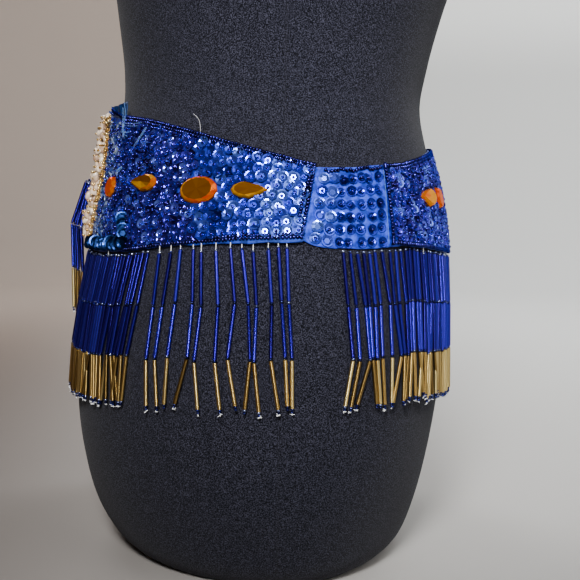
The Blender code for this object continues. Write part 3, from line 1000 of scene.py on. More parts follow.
beadRows = {
    "pitch": 0.00205,
    "diameter": 0.0027,
    "jitter": 0.00010,
    "lift": 0.0012,
    "edgeStep": 0.6,                 # degrees between the places a row runs through
    "edgeWander": 0.00025,
    "endSteps": 14,
    "endWander": 0.12,               # degrees
}


def edgePath(first, last, line, face):
    count = max(2, math.ceil(abs(last - first) / beadRows["edgeStep"]))
    path = []
    for i in range(count + 1):
        angle = first + (last - first) * i / count
        height = line(angle)
        height += beadRows["edgeWander"] * noise.noise(Vector((arcAt(angle) * 60, 7.7, height * 3)))
        path.append(skinPoint(angle, height, face(angle) + beadRows["lift"]))
    return path


def uprightPath(angleOf, low, high):
    path = []
    for i in range(beadRows["endSteps"] + 1):
        v = i / beadRows["endSteps"]
        height = low + (high - low) * v
        angle = angleOf(v) + beadRows["endWander"] * noise.noise(Vector((height * 90, 4.4, 0)))
        path.append(skinPoint(angle, height, panelFace(angle) + beadRows["lift"]))
    return path


def buildBeadRows():
    half, seam, frontEnd = belt["beadRowWidth"] / 2, belt["leftSeam"], belt["frontEnd"]

    def topLine(angle, rows=0.55):
        return panelTop(angle) - half * rows

    def secondTopLine(angle):
        return topLine(angle, 2.1)

    def bottomLine(angle, rows=1.0):
        return beadRowBottom(angle) + half * rows

    def secondBottomLine(angle):
        return bottomLine(angle, 2.3)

    def tabLine(angle):
        sag = 0.0007 * math.sin(angle * 0.9) + 0.0005 * math.sin(angle * 2.3)
        return tabTop(angle) - half * 0.9 - 0.0004 + sag

    def edges(line, *spans):
        return [edgePath(first, last, line, panelFace) for first, last in spans]

    frontStart, backStart = seam - 359.0, belt["backEndBottom"] + 0.6
    backLow, backHigh = bottomLine(84.5), topLine(80.5)
    rows = (
        ("beadRowBackTop", "bead_row_back_top",
         edges(topLine, (belt["backEndTop"] + 0.6, 158), (202, seam - 0.4))
         + edges(secondTopLine, (82, 147), (213, seam - 2))),
        ("beadRowBackBottom", "bead_row_back_bottom",
         edges(bottomLine, (backStart, 136)) + edges(secondBottomLine, (backStart + 1, 108), (252, seam - 1))
         + edges(bottomLine, (224, seam - 0.4), (163, 197))),
        ("beadRowFrontTop", "bead_row_front_top",
         edges(topLine, (frontStart, frontEnd - 0.3))
         + edges(secondTopLine, (frontStart + 6, frontEnd - 4))),
        ("beadRowFrontBottom", "bead_row_front_bottom", edges(bottomLine, (frontStart, frontEnd - 0.3))),
        ("beadRowBackEnd", "bead_row_back_end",
         [uprightPath(lambda v: backEndAngle(v) + 0.55, backLow, backHigh),
          uprightPath(lambda v: backEndAngle(v) + 1.17, backLow + 0.012, backHigh)]),
        ("beadRowFrontEnd", "bead_row_front_end",
         [uprightPath(lambda v: frontEnd - 0.45, bottomLine(53), topLine(53))]),
        ("beadRowLeftSeam", "bead_row_left_seam",
         [uprightPath(lambda v: seam, bottomLine(seam), topLine(seam))]),
        ("beadRowTabTop", "bead_row_tab_top",
         [edgePath(frontEnd + 0.9, belt["backEndTop"] - 3.0, tabLine, tabFace)]),
    )
    for i, (name, node, paths) in enumerate(rows):
        growAlong(name, paths, 10 + i, node)


buildBeadRows()
print("bead rows made")


gems = {
    # length round the form and height
    "drop": (0.0222, 0.0106),
    "wideDrop": (0.0258, 0.0114),
    "fullDrop": (0.0226, 0.0126),
    "oval": (0.0247, 0.0172),
    "round": (0.0140, 0.0140),
    "height": 0.0028,
    "lift": 0.0014,                  # the stone's flat back off the cloth
    "sides": {"drop": 12, "wideDrop": 12, "fullDrop": 12, "oval": 14, "round": 10},
    # painted reflection: tones of the facets, standing in for the light the stone reflects and refracts:
    # table, upper, lower, towards the back, towards the front
    "tones": {
        "drop": (0.07, 0.50, 0.36, 0.50, 0.58),
        "wideDrop": (0.04, 0.20, 0.60, 0.34, 0.90),
        "oval": (0.05, 0.92, 0.90, 0.52, 0.98),
        "fullDrop": (0.46, 0.80, 0.74, 0.86, 0.52),
        "round": (0.96, 1.0, 0.90, 1.0, 0.88),
    },
    "tableSpread": 0.018,            # how far tones vary from facet to facet
    "crownSpread": 0.12,
    # rise and scale of the girdle's two edges, the crown and the table
    "crown": ((0.0, 1.0), (0.20, 1.0), (0.66, 0.92), (1.0, 0.79)),
    "dropTaper": 0.9,
    "dropSwell": 0.35,
    # inner rings of the foiled cup behind each stone: how far back, scale, and turn in facets
    "cup": ((0.0001, 1.0, 0.0), (0.0004, 0.80, 0.5)),
    "cupScale": 0.97,
    "cupDepth": 0.0011,
}


gemList = (
    # the frame's node, shape, angle, height, way a drop's point looks round the form
    ("gem_back_drop_outer_right", "drop", 98.5, 0.2410, -1),
    ("gem_back_oval_right", "oval", 112.2, 0.2406, 1),
    ("gem_back_drop_inner_right", "wideDrop", 130.5, 0.2450, 1),
    ("gem_back_round_right", "round", 147.0, 0.2425, 1),
    ("gem_centre_back", "oval", 180.0, 0.2590, 1),
    ("gem_back_round_left", "round", 213.0, 0.2425, 1),
    ("gem_back_drop_inner_left", "wideDrop", 229.5, 0.2450, -1),
    ("gem_back_oval_left", "oval", 247.8, 0.2406, 1),
    ("gem_back_drop_outer_left", "drop", 261.5, 0.2410, 1),
    ("gem_front_drop_left", "fullDrop", -41.2, 0.2392, -1),
    ("gem_front_round_left", "round", -32.0, 0.2390, 1),
    ("gem_centre_front", "oval", 0.0, 0.2385, 1),
    ("gem_front_round_right", "round", 32.0, 0.2390, 1),
    ("gem_front_drop_right", "fullDrop", 41.2, 0.2392, 1),
)


def gemOutline(shape, turn):
    angle = 2 * math.pi * turn
    x, y = math.cos(angle), math.sin(angle)
    if shape.lower().endswith("drop") and x > 0:
        half = angle / 2 if angle < math.pi else math.pi - angle / 2
        y *= math.sin(half) ** gems["dropTaper"] * (1 + gems["dropSwell"] * x)
    return 0.5 * x, 0.5 * y


def facetTones(shape, sides, point, rng):
    # one tone for each facet of a tier, then those of the table's wedges, which paint the back facets seen
    # through the table
    table, upper, lower, behind, ahead = gems["tones"][shape]
    rims, wedges = [], []
    for i in range(sides):
        # x runs round the form towards its back
        turn = 2 * math.pi * (i + 0.5) / sides
        x, y = math.cos(turn) * point, math.sin(turn)
        rims.append((behind if x > 0 else ahead) * x * x + (upper if y > 0 else lower) * y * y)
        lit = rng.uniform(-1, 1) * gems["tableSpread"]
        # painted light: the wide drop's lower half and the full drop's back end are painted lighter
        if shape == "wideDrop":
            lit += 0.75 * (lower - table) * max(-y, 0)
        elif shape == "fullDrop":
            lit += (behind - table) * max(x * point, 0)
        wedges.append(clamp(table + lit))
    return rims, wedges


def gemRing(shape, place, point, scale, shift, rise):
    # the gem's outline, drawn in by a scale, turned by part of a facet and raised off its back
    (length, width), sides = gems[shape], gems["sides"][shape]
    centre, around, up, outward = place
    outline = [gemOutline(shape, (i + shift) / sides % 1.0) for i in range(sides)]
    return [centre + around * (x * length * scale * point) + up * (y * width * scale) + outward * rise
            for x, y in outline]


def gemStone(name, shape, place, point, rng):
    sides = gems["sides"][shape]
    rims, wedges = facetTones(shape, sides, point, rng)
    verts = []
    for level, (rise, scale) in enumerate(gems["crown"]):
        # facets of each tier lie between those of the one below it
        shift = 0.5 * (level % 2) if level > 1 else 0.0
        verts += gemRing(shape, place, point, scale, shift, rise * gems["height"])
    faces, shades = bandFaces(0, sides, sides), list(rims)
    for level in range(1, len(gems["crown"]) - 1):
        a, b = level * sides, (level + 1) * sides
        for i in range(sides):
            k = (i + 1) % sides
            if level % 2 == 0:
                faces += [(a + i, a + k, b + i), (a + k, b + k, b + i)]
            else:
                faces += [(a + i, a + k, b + k), (a + i, b + k, b + i)]
            shades += [clamp(rims[i] + rng.uniform(-1, 1) * gems["crownSpread"]) for _ in range(2)]
    faces.append(tuple(range(sides)))
    last = len(verts) - sides
    verts.append(place[0] + place[3] * gems["height"])
    faces += [(last + i, last + (i + 1) % sides, len(verts) - 1) for i in range(sides)]
    return facetedPiece(name, verts, faces, amberGlass, shades + [0.5] + wedges)


def facetedPiece(name, verts, faces, material, shades):
    piece = meshFrom(name, verts, faces, material, smooth=False)
    piece.data.attributes.new("shade", "FLOAT", "FACE").data.foreach_set("value", shades)
    outwardFaces(piece)
    return piece


def gemSetting(shape, place, point, rng):
    # the foiled cup behind a stone: a wall down to the cloth, and facets that fall to its middle
    sides = gems["sides"][shape]
    verts = []
    for drop, scale, shift in ((gems["lift"], 1.0, 0.0), *gems["cup"]):
        verts += gemRing(shape, place, point, scale * gems["cupScale"], shift, -drop)
    verts.append(place[0] - place[3] * gems["cupDepth"])
    faces, shades = [tuple(range(sides))], [0.4]
    for i in range(sides):
        k = (i + 1) % sides
        faces += [(i, k, sides + k, sides + i), (sides + i, sides + k, 2 * sides + i),
                  (sides + k, 2 * sides + k, 2 * sides + i), (2 * sides + i, 2 * sides + k, 3 * sides)]
        shades += [rng.uniform(0.2, 0.8) for _ in range(4)]
    return verts, faces, shades


def buildGems():
    rng = random.Random(3)
    cupVerts, cupFaces, cupShades = [], [], []
    for node, shape, angle, height, point in gemList:
        place = skinFrame(angle, height, panelFace(angle) + gems["lift"])
        words = node.split("_")
        name = words[0] + "".join(word.capitalize() for word in words[1:])
        finishPiece(gemStone(name, shape, place, point, rng), "amber_gems", node)
        verts, faces, shades = gemSetting(shape, place, point, rng)
        cupFaces += [tuple(v + len(cupVerts) for v in face) for face in faces]
        cupVerts += verts
        cupShades += shades
    finishPiece(facetedPiece("gemSettings", cupVerts, cupFaces, gemFoil, cupShades), "amber_gems")


buildGems()
print("gems made")


sequins = {
    # each kind's pitch, how far it keeps off the edge beads, and its jitter in pitches
    "cupSewing": (0.0060, 0.0026, 0.18),
    "smallSewing": (0.0041, 0.0020, 0.20),
    "closeSewing": (0.0025, 0.0008, 0.25),
    # how far off the cloth each kind may sit
    "cupOut": (0.0007, 0.0017),
    "smallOut": (0.0006, 0.0014),
    "closeOut": (0.0010, 0.0017),
    # how far each kind keeps off a gem's edge
    "cupGap": -0.0002,
    "smallGap": 0.0006,
    "closeGap": 0.0009,
    "cupSize": 0.0073,
    "cupTilt": 0.11,
    "smallSize": 0.0054,
    "smallTilt": 0.26,
    # painted shade: the back panel's small sequins get darker shades than the front panel's
    "frontTone": (0.50, 0.34),       # middle and spread of the small sequins' shades
    "backTone": (0.44, 0.27),
    "beadSize": 0.0020,
    "endMargin": 1.9,                # degrees the cups keep inside the back panel's slanted end
    "cupsFrom": 76,                  # angles the large cups lie between, and close beadwork past them
    "cupsEnd": 113.8,
    "frontTo": 60,                   # angle the front panel's small sequins end at
    "beadworkFrom": 145.5,           # angle where seed and bugle beads take over, by the braids
    "bugleLength": 0.0042,
    "bugleWidth": 0.0012,
    "bugleLean": 38,
    "bugleRow": 0.006,               # bugles lean one way in one row, the other way in the next
    "braidBugles": 0.50,             # share of the close beads that are bugles
    "frontBugles": 0.20,
    "frontBare": 0.55,               # share of the front panel's close beads left out
    "braidGap": 2.6,                 # degrees kept clear on each side of a braid's middle
    "flatSize": 0.0085,              # large flat sequins that stand on edge below the braids
    "stack": (134, 160, 0.010),      # where those are: from and to an angle, up to a height
    "bareCorner": (141, 156, 0.0036, 0.00030),
    # sewing, in pitches: rows apart, then the nearest two pieces may be
    "rowPitch": 0.86,
    "edgeReach": 0.60,
    "rowReach": 0.62,
    "looseReach": 0.72,
    "looseTries": 8,
}


def gemGap(angle, height):
    # how far a place lies outside the nearest gem's edge, in metres
    nearest, samples = 1.0, 24
    for _node, shape, gemAngle, gemHeight, point in gemList:
        if abs(angle - gemAngle) < 12:
            length, width = gems[shape]
            dx, dz = (arcAt(angle) - arcAt(gemAngle)) * point, height - gemHeight
            rim = [gemOutline(shape, i / samples) for i in range(samples)]
            gap = min(math.hypot(x * length - dx, y * width - dz) for x, y in rim)
            inside = math.hypot(dx / (length / 2), dz / (width / 2)) < 1
            nearest = min(nearest, -gap if inside and dx < length * 0.25 else gap)
    return nearest


def scatter(first, last, pitch, margin, jitter, rng, wanted):
    # rows that follow the bottom edge, loosened by hand-sewing, then the holes they leave
    places, cells = [], {}
    start, end = arcAt(first), arcAt(last)
    rowHeight = pitch * sequins["rowPitch"]

    def lowest(angle):
        return beadRowBottom(angle) + belt["beadRowWidth"] + margin

    def highest(angle):
        return panelTop(angle) - belt["beadRowWidth"] - margin

    def near(arc, z, reach):
        i, j = int(arc / pitch), int(z / pitch)
        return any(math.hypot(arc - other[0], z - other[1]) < reach
                   for di in (-1, 0, 1) for dj in (-1, 0, 1) for other in cells.get((i + di, j + dj), ()))

    def add(arc, z, reach):
        a = angleAt(arc)
        within = first <= a <= last and lowest(a) <= z <= highest(a)
        if within and wanted(a, z) and not near(arc, z, reach * pitch):
            places.append((a, z))
            cells.setdefault((int(arc / pitch), int(z / pitch)), []).append((arc, z))

    arc = start
    while arc < end:
        for edge in (lowest, highest):
            add(arc, edge(angleAt(arc)), sequins["edgeReach"])
        arc += pitch
    for row in range(int(0.1 / rowHeight)):
        arc = start + (pitch / 2 if row % 2 else 0)
        while arc < end:
            z = lowest(angleAt(arc)) + (row + 1) * rowHeight
            aside = rng.uniform(-jitter, jitter) * pitch
            add(arc + aside, z + rng.uniform(-jitter, jitter) * pitch, sequins["rowReach"])
            arc += pitch
    for _ in range(len(places) * sequins["looseTries"]):
        add(rng.uniform(start, end), rng.uniform(0.200, 0.300), sequins["looseReach"])
    return places


def sequinPoint(angle, height, out, size, spin, shade):
    place, around, _up, outward = skinFrame(angle, height, out)
    turned = Matrix.Rotation(spin, 3, outward) @ around
    return (place, turnOf(turned, outward), (size,) * 3, shade)


def cupZoneEdge(height):
    # the large cups reach further back at some rows than at others
    return sequins["cupsEnd"] + 3.2 * noise.noise(Vector((height * 160, 1.3, 0)))


def nearBraid(angle, height):
    return abs(fromFront(angle) - braidMiddle(height)) < sequins["braidGap"]


def bareCorner(angle, height):
    # the satin shows beside the top of each braid, where beads are missing
    side = fromFront(angle)
    first, last, deep, slope = sequins["bareCorner"]
    return first < side < last and height > panelTop(angle) - deep - slope * (side - first)


def inStack(angle, height):
    first, last, rise = sequins["stack"]
    return first < fromFront(angle) < last and height < beadRowBottom(angle) + rise


def wantsCup(angle, height):
    inCups = sequins["cupsFrom"] < fromFront(angle) < cupZoneEdge(height)
    return inCups and (angle > 100 or insideBackEnd(angle, height) > sequins["endMargin"]) \
        and gemGap(angle, height) > sequins["cupGap"]


def wantsSmall(angle, height):
    side = fromFront(angle)
    atBack = cupZoneEdge(height) - 0.5 < side < sequins["beadworkFrom"] + 2
    return (atBack or side < sequins["frontTo"]) and gemGap(angle, height) > sequins["smallGap"] \
        and not inStack(angle, height)


def wantsClose(angle, height):
    side = fromFront(angle)
    atBraid = side > sequins["beadworkFrom"] and not nearBraid(angle, height)
    bare = bareCorner(angle, height) or inStack(angle, height)
    return (atBraid or side < sequins["cupsFrom"]) and not bare \
        and gemGap(angle, height) > sequins["closeGap"]


def sewCups(first, last, rng, cups, beads):
    for angle, height in scatter(first, last, *sequins["cupSewing"], rng, wantsCup):
        size = sequins["cupSize"] * rng.uniform(0.94, 1.04)
        out = panelFace(angle) + rng.uniform(*sequins["cupOut"])
        spin = rng.uniform(0, 6.28)
        # painted light: the cups' shades grow lighter towards the closure, a painted bright patch where the
        # lamp's reflection falls
        shade = clamp(rng.gauss(0.47 + 0.30 * ease((106 - fromFront(angle)) / 20), 0.20))
        cups.append(sequinPoint(angle, height, out, size, spin, shade))
        beads.append(sequinPoint(angle, height, out + 0.0005, sequins["beadSize"], 0.0,
                                 rng.uniform(0.1, 0.7)))


def sewSmalls(first, last, rng, smalls, beads):
    for angle, height in scatter(first, last, *sequins["smallSewing"], rng, wantsSmall):
        tone = sequins["frontTone" if fromFront(angle) < sequins["frontTo"] else "backTone"]
        out = panelFace(angle) + rng.uniform(*sequins["smallOut"])
        size = sequins["smallSize"] * rng.uniform(0.90, 1.10)
        spin = rng.uniform(0, 6.28)
        smalls.append(sequinPoint(angle, height, out, size, spin, clamp(rng.gauss(*tone))))
        size = sequins["beadSize"] * rng.uniform(0.9, 1.1)
        beads.append(sequinPoint(angle, height, out + 0.0008, size, 0.0, clamp(rng.gauss(0.5, 0.3))))


def sewCloseBeads(first, last, rng, beads, bugles, pale):
    for angle, height in scatter(first, last, *sequins["closeSewing"], rng, wantsClose):
        atBraid = fromFront(angle) > sequins["beadworkFrom"]
        if not atBraid and rng.random() < sequins["frontBare"]:
            continue
        out = panelFace(angle) + rng.uniform(*sequins["closeOut"])
        if rng.random() < sequins["braidBugles" if atBraid else "frontBugles"]:
            place, around, up, outward = skinFrame(angle, height, out)
            lean = math.radians(sequins["bugleLean"]) * (1 if int(height / sequins["bugleRow"]) % 2 else -1)
            lean += rng.uniform(-0.35, 0.35)
            direction = around * math.cos(lean) + up * math.sin(lean) + outward * rng.uniform(-0.1, 0.25)
            size = (sequins["bugleWidth"],) * 2 + (sequins["bugleLength"] * rng.uniform(0.6, 0.9),)
            (pale if atBraid else bugles).append(
                (place, turnAlong(direction), size, rng.uniform(0.15 if atBraid else 0, 1)))
        else:
            size = sequins["beadSize"] * rng.uniform(0.9, 1.15)
            spin = rng.uniform(0, 3)
            beads.append(sequinPoint(angle, height, out, size, spin, rng.uniform(0, 1)))


def sewBeadwork(name, first, last, seed):
    rng = random.Random(seed)
    cups, smalls, beads, bugles, pale = [], [], [], [], []
    sewCups(first, last, rng, cups, beads)
    sewSmalls(first, last, rng, smalls, beads)
    sewCloseBeads(first, last, rng, beads, bugles, pale)
    growOnPoints(name + "Sequins", "sequin", smalls, smallFoil, sequins["smallTilt"], seed, "belt_satin")
    growOnPoints(name + "Cups", "sequin", cups, sequinFoil, sequins["cupTilt"], seed + 1, "belt_satin")
    growOnPoints(name + "Beads", "bead", beads, navyBead, 0.9, seed + 2, "seed_beads")
    growOnPoints(name + "ShortBugles", "bugle", bugles, blueBugle, 0.1, seed + 3, "blue_bugles")
    growOnPoints(name + "PaleBugles", "bugle", pale, paleBugle, 0.1, seed + 3, "blue_bugles")
    print(name, len(cups), "cups", len(smalls), "small sequins", len(beads), "beads", len(bugles), "bugles")


def stackFlatSequins():
    # large flat sequins crowded on edge at the foot of each braid, and a few up beside it
    rng = random.Random(77)
    discs = []
    spots = [(134.5 + 1.4 * i, 0.0052 + 0.0012 * math.sin(i * 1.9)) for i in range(18)]
    spots += [(134.8 + 0.5 * i, 0.0110 + 0.0032 * i) for i in range(4)]
    for angle, rise in spots:
        for turn, way in ((angle, 1), (360 - angle, -1)):
            height = beadRowBottom(turn) + rise
            place, around, up, outward = skinFrame(turn, height, panelFace(turn) + 0.0030)
            face = outward * rng.uniform(0.45, 0.8) - around * way * rng.uniform(0.5, 0.9)
            face += up * rng.uniform(-0.2, 0.3)
            size = sequins["flatSize"] * rng.uniform(0.8, 1.0)
            discs.append((place, turnAlong(face.normalized(), rng.uniform(0, 3)), (size, size, size * 0.5),
                          rng.uniform(0.0, 0.8)))
    growOnPoints("flatSequins", "sequin", discs, flatFoil, 0.1, 78, "belt_satin")


sewBeadwork("right", 79.0, 180.0, 21)
sewBeadwork("left", 180.0, belt["leftSeam"] - 0.7, 31)
sewBeadwork("front", belt["leftSeam"] - 359.3, belt["frontEnd"] - 1.4, 41)
stackFlatSequins()


def buildTabSequins():
    rng = random.Random(8)
    discs, beads = [], []
    for angle, height, column in tabPlaces:
        light = column < tabWork["lightColumns"]
        # painted reflection and shade: light shades for the columns nearest the back panel, dark shades for
        # the rest
        shade = clamp(rng.gauss(0.70 if light else 0.22, 0.12))
        out = tabFace(angle) + 0.0006
        size = tabWork["lightSize" if light else "size"] * rng.uniform(0.95, 1.05)
        discs.append(sequinPoint(angle, height, out, size, rng.uniform(0, 6.28), shade))
        if not light or rng.random() < 0.3:
            beads.append(sequinPoint(angle, height, out + 0.0008, tabWork["beadSize"], 0.0,
                                     rng.uniform(0.2, 0.9)))
    growOnPoints("tabSequins", "sequin", discs, sequinFoil, tabWork["tilt"], 5, "tab_satin")
    growOnPoints("tabBeads", "bead", beads, edgeBead, 0.8, 6, "seed_beads")


buildTabSequins()
print("sequins made")


braids = {
    "pearlLength": 0.0054,
    "pearlWidth": 0.0033,
    "lean": 38.0,
    "step": 0.0038,                  # from one tier of pearls up to the next
    "radius": 0.0046,
    "perTier": 6,
    "firstTurn": -115,               # round the rope, in degrees, then from pearl to pearl
    "turn": 36,
    "rowTurns": (-6, 16),            # the turn added in every other tier
    "turnJitter": 0.26,
    "leanJitter": 0.55,
    "twist": 0.0011,
    "base": 0.0026,
    "offFace": 0.0002,
    "rough": 0.0008,
    "wander": 0.0011,
    "footRise": 0.0014,
    "topDrop": 0.0054,
    "topTaper": 0.12,
    "goldSize": 0.0027,
    "goldShare": 0.90,               # gaps between two pearls that hold a gold bead
    "goldLift": 0.0013,
    "flankAside": 0.0034,
    "flankRise": 0.0005,
    "looseGold": 16,
}


def braidSwell(height, low, high):
    # the rope is thinner at its ends and towards the top, and lumpy between
    toEnd = min(height - low, high - height) / 0.012
    taper = 1 - braids["topTaper"] * ease((height - 0.270) / 0.026)
    return (0.62 + 0.38 * ease(toEnd)) * taper * (1 + 0.14 * math.sin(height * 460))


def addGold(golds, spot, direction, size, rng):
    golds.append((spot, turnAlong(direction), (braids["goldSize"] * size,) * 3, rng.random()))


def addPearls(pearls, golds, row, heart, radius, way, directions, rng):
    # one tier round the rope, with a gold bead in most gaps
    around, up, outward = directions
    for i in range(braids["perTier"]):
        turn = math.radians(braids["firstTurn"] + braids["turn"] * i + braids["rowTurns"][row % 2])
        phi = way * (turn + rng.uniform(-1, 1) * braids["turnJitter"])
        radial = around * math.sin(phi) + outward * math.cos(phi)
        tangent = around * math.cos(phi) - outward * math.sin(phi)
        lean = math.radians(braids["lean"]) * (1 if row % 4 < 2 else -0.6)
        lean += rng.uniform(-1, 1) * braids["leanJitter"]
        spot = heart + radial * (radius + rng.uniform(-1, 1) * braids["rough"])
        spot += up * (braids["twist"] * (i - 2) + rng.uniform(-1, 1) * braids["wander"])
        along = turnAlong(up * math.cos(lean) + tangent * math.sin(lean), rng.uniform(0, 3))
        width = braids["pearlWidth"] * rng.uniform(0.9, 1.1)
        long = braids["pearlLength"] * rng.uniform(0.8, 1.1)
        pearls.append((spot, along, (width, width, long), rng.uniform(0.1, 1.0)))
        if i < braids["perTier"] - 1 and rng.random() < braids["goldShare"]:
            between = phi + way * math.radians(braids["turn"] / 2)
            radial = around * math.sin(between) + outward * math.cos(between)
            spot = heart + radial * (radius + braids["goldLift"]) + up * braids["step"] * 0.5
            addGold(golds, spot, up, rng.uniform(0.7, 0.9), rng)


def addFlanks(golds, place, radius, directions, rng):
    # gold beads sewn down both sides of the rope, two deep
    around, up, outward = directions
    for flank in (-1, 1):
        for tier in range(4):
            deep = tier // 2
            spot = place + around * flank * (radius + braids["flankAside"] - 0.0005 * deep)
            spot += up * (0.5 * braids["step"] * (tier % 2) + rng.uniform(-1, 1) * braids["flankRise"])
            spot += outward * (0.0010 + 0.0019 * deep)
            direction = up + around * rng.uniform(-0.6, 0.6)
            addGold(golds, spot, direction, rng.uniform(0.8, 1.1), rng)


def buildBraids():
    rng = random.Random(12)
    for node, side, way in (("pearl_braid_right", "Right", 1), ("pearl_braid_left", "Left", -1)):
        low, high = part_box(node)
        pearls, golds = [], []
        for row in range(int((high.z - low.z - braids["topDrop"]) / braids["step"]) + 1):
            height = low.z + braids["footRise"] + row * braids["step"]
            middle = braidMiddle(height) if way > 0 else 360 - braidMiddle(height)
            place, *directions = skinFrame(middle, height, panelFace(middle) + braids["offFace"])
            around, up, outward = directions
            swell = braidSwell(height, low.z, high.z)
            heart, radius = place + outward * braids["base"] * swell, braids["radius"] * swell
            addPearls(pearls, golds, row, heart, radius, way, directions, rng)
            addFlanks(golds, place, radius, directions, rng)
        for _ in range(braids["looseGold"]):
            spot = place + around * way * rng.uniform(-0.014, 0.004) + outward * rng.uniform(0.001, 0.006)
            addGold(golds, spot + up * rng.uniform(-0.003, 0.003), up, 0.9, rng)
        growOnPoints("pearlBraid" + side, "pearl", pearls, pearl, 0.12, 31, "pearls", node)
        growOnPoints("goldBeads" + side, "bead", golds, goldBead, 0.5, 32, "pearls")


buildBraids()
print("braids made")


fringe = {
    "bugle": 0.0300,
    "bugleWidth": 0.0024,
    "blueReach": (0.99, 1.01),       # shortest and longest of its bugles, as shares of that length
    "goldReach": (0.87, 0.94),
    "frontScale": 0.955,
    "tabScale": 0.975,
    "clearance": 0.0006,
    "gap": 0.0009,
    "topGap": 0.0012,
    "show": 0.0012,
    "sparseSwing": 0.0008,           # how far a strand's foot swings out
    "frontSwing": 0.0010,
    "seed": 0.0019,
    "footDrop": 0.0014,
    "tuft": 0.0026,
    "tuftDrop": 0.0011,
    "tuftShare": 0.6,
    "threadWidth": 0.00045,
    # sparse strands by the closure: angle, then how far its three bugles lean round the form
    # at their lower ends, in metres
    "sparse": (
        (121.8, 0.0003, 0.0022, 0.0008),
        (118.3, 0.0021, 0.0045, 0.0016),
        (115.7, 0.0002, 0.0025, 0.0037),
        (112.2, -0.0023, -0.0013, 0.0064),
        (110.0, -0.0025, -0.0003, -0.0036),
        (106.2, -0.0033, -0.0030, -0.0069),
        (102.6, -0.0041, -0.0014, -0.0070),
        (99.8, -0.0050, -0.0068, -0.0043),
        (97.0, -0.0030, -0.0025, -0.0058),
        (93.3, -0.0026, -0.0027, -0.0076),
        (90.9, -0.0024, -0.0053, -0.0075),
        (88.6, -0.0016, -0.0038, -0.0044),
    ),
    # strands below the tab, given the same way
    "tab": (
        (72.4, -0.0028, -0.0063, -0.0014),
        (70.4, -0.0035, -0.0063, -0.0007),
        (68.4, -0.0049, -0.0084, 0.0007),
        (66.4, -0.0035, -0.0063, -0.0098),
        (64.7, -0.0035, -0.0056, -0.0084),
        (63.0, -0.0035, -0.0056, -0.0078),
        (60.8, -0.0054, -0.0077, -0.0077),
        (58.3, -0.0031, -0.0092, -0.0023),
        (56.3, -0.0023, -0.0077, -0.0070),
        (54.6, -0.0040, -0.0070, -0.0047),
    ),
    "densePitch": 0.0036,
    "denseBackFrom": 125.6,
    "frontSpan": (-82.5, 52.9),
    # the three leans of a close strand: share of its stretch's drift, then spread in metres
    "denseLeans": ((0.42, 0.0007), (0.78, 0.0011), (0.84, 0.0030)),
    "denseLoose": 0.12,
    "backTrail": 0.013,
    "backSwing": 0.0026,
    "frontTrail": 0.0060,
}


def hangPoint(angle, height, top, out):
    # on the form where it bulges, and straight down from its fullest part
    furthest, steps = 0.0, 6
    for i in range(steps + 1):
        level = top + (height - top) * i / steps
        flat = skinPoint(angle, level, out) - Vector((skin["sideLineX"], 0, level))
        if flat.length > furthest:
            furthest, best = flat.length, flat
    return Vector((skin["sideLineX"], 0, height)) + best


def newStrandLists():
    return {"blue": [], "gold": [], "seeds": [], "tufts": [], "threads": []}


def threadStrand(lists, knots, rng, scale=1.0):
    # two blue bugles and a gold one hung between four knots, with seeds and a cut thread end
    gap, seed = fringe["gap"], fringe["seed"]
    down = turnAlong(Vector((0, 0, 1)))
    # painted highlight: the top seed gets a high shade, so it shows pale like a glint
    lists["seeds"].append((knots[0], down, (seed,) * 3, rng.uniform(0.4, 1.0)))
    last = knots[0]
    for target, kind in zip(knots[1:], ("blue", "blue", "gold")):
        way = (target - last).normalized()
        reach = scale * fringe["bugle"] * rng.uniform(*fringe[kind + "Reach"])
        first = last + way * gap
        end = first + way * reach
        size = (fringe["bugleWidth"] * rng.uniform(0.93, 1.05),) * 2 + (reach,)
        lists[kind].append(((first + end) / 2, turnAlong(way, rng.uniform(0, 0.8)), size, rng.random()))
        lists["seeds"].append((end + way * gap * 0.8, turnAlong(way), (seed * rng.uniform(1.0, 1.15),) * 3,
                               rng.uniform(0, 0.75)))
        last = end + way * gap
    foot = last + way * fringe["footDrop"]
    lists["seeds"].append((foot, turnAlong(way), (seed,) * 3, rng.uniform(0, 0.55)))
    if rng.random() < fringe["tuftShare"]:
        lists["tufts"].append((foot + way * fringe["tuftDrop"], turnAlong(way, rng.uniform(0, 6)),
                               (fringe["tuft"] * rng.uniform(0.7, 1.2),) * 3, 0.5))


def finishStrands(name, lists, node, seed):
    growOnPoints(name + "BlueBugles", "bugle", lists["blue"], blueBugle, 0.0, seed, "blue_bugles", node)
    growOnPoints(name + "GoldBugles", "bugle", lists["gold"], goldBugle, 0.0, seed, "pearls")
    growOnPoints(name + "Seeds", "bead", lists["seeds"], jointBead, 0.3, seed, "seed_beads")
    growOnPoints(name + "Knots", "tuft", lists["tufts"], threadWhite, 0.6, seed, "belt_satin")
    growOnPoints(name + "Threads", "bugle", lists["threads"], threadWhite, 0.0, seed, "belt_satin")


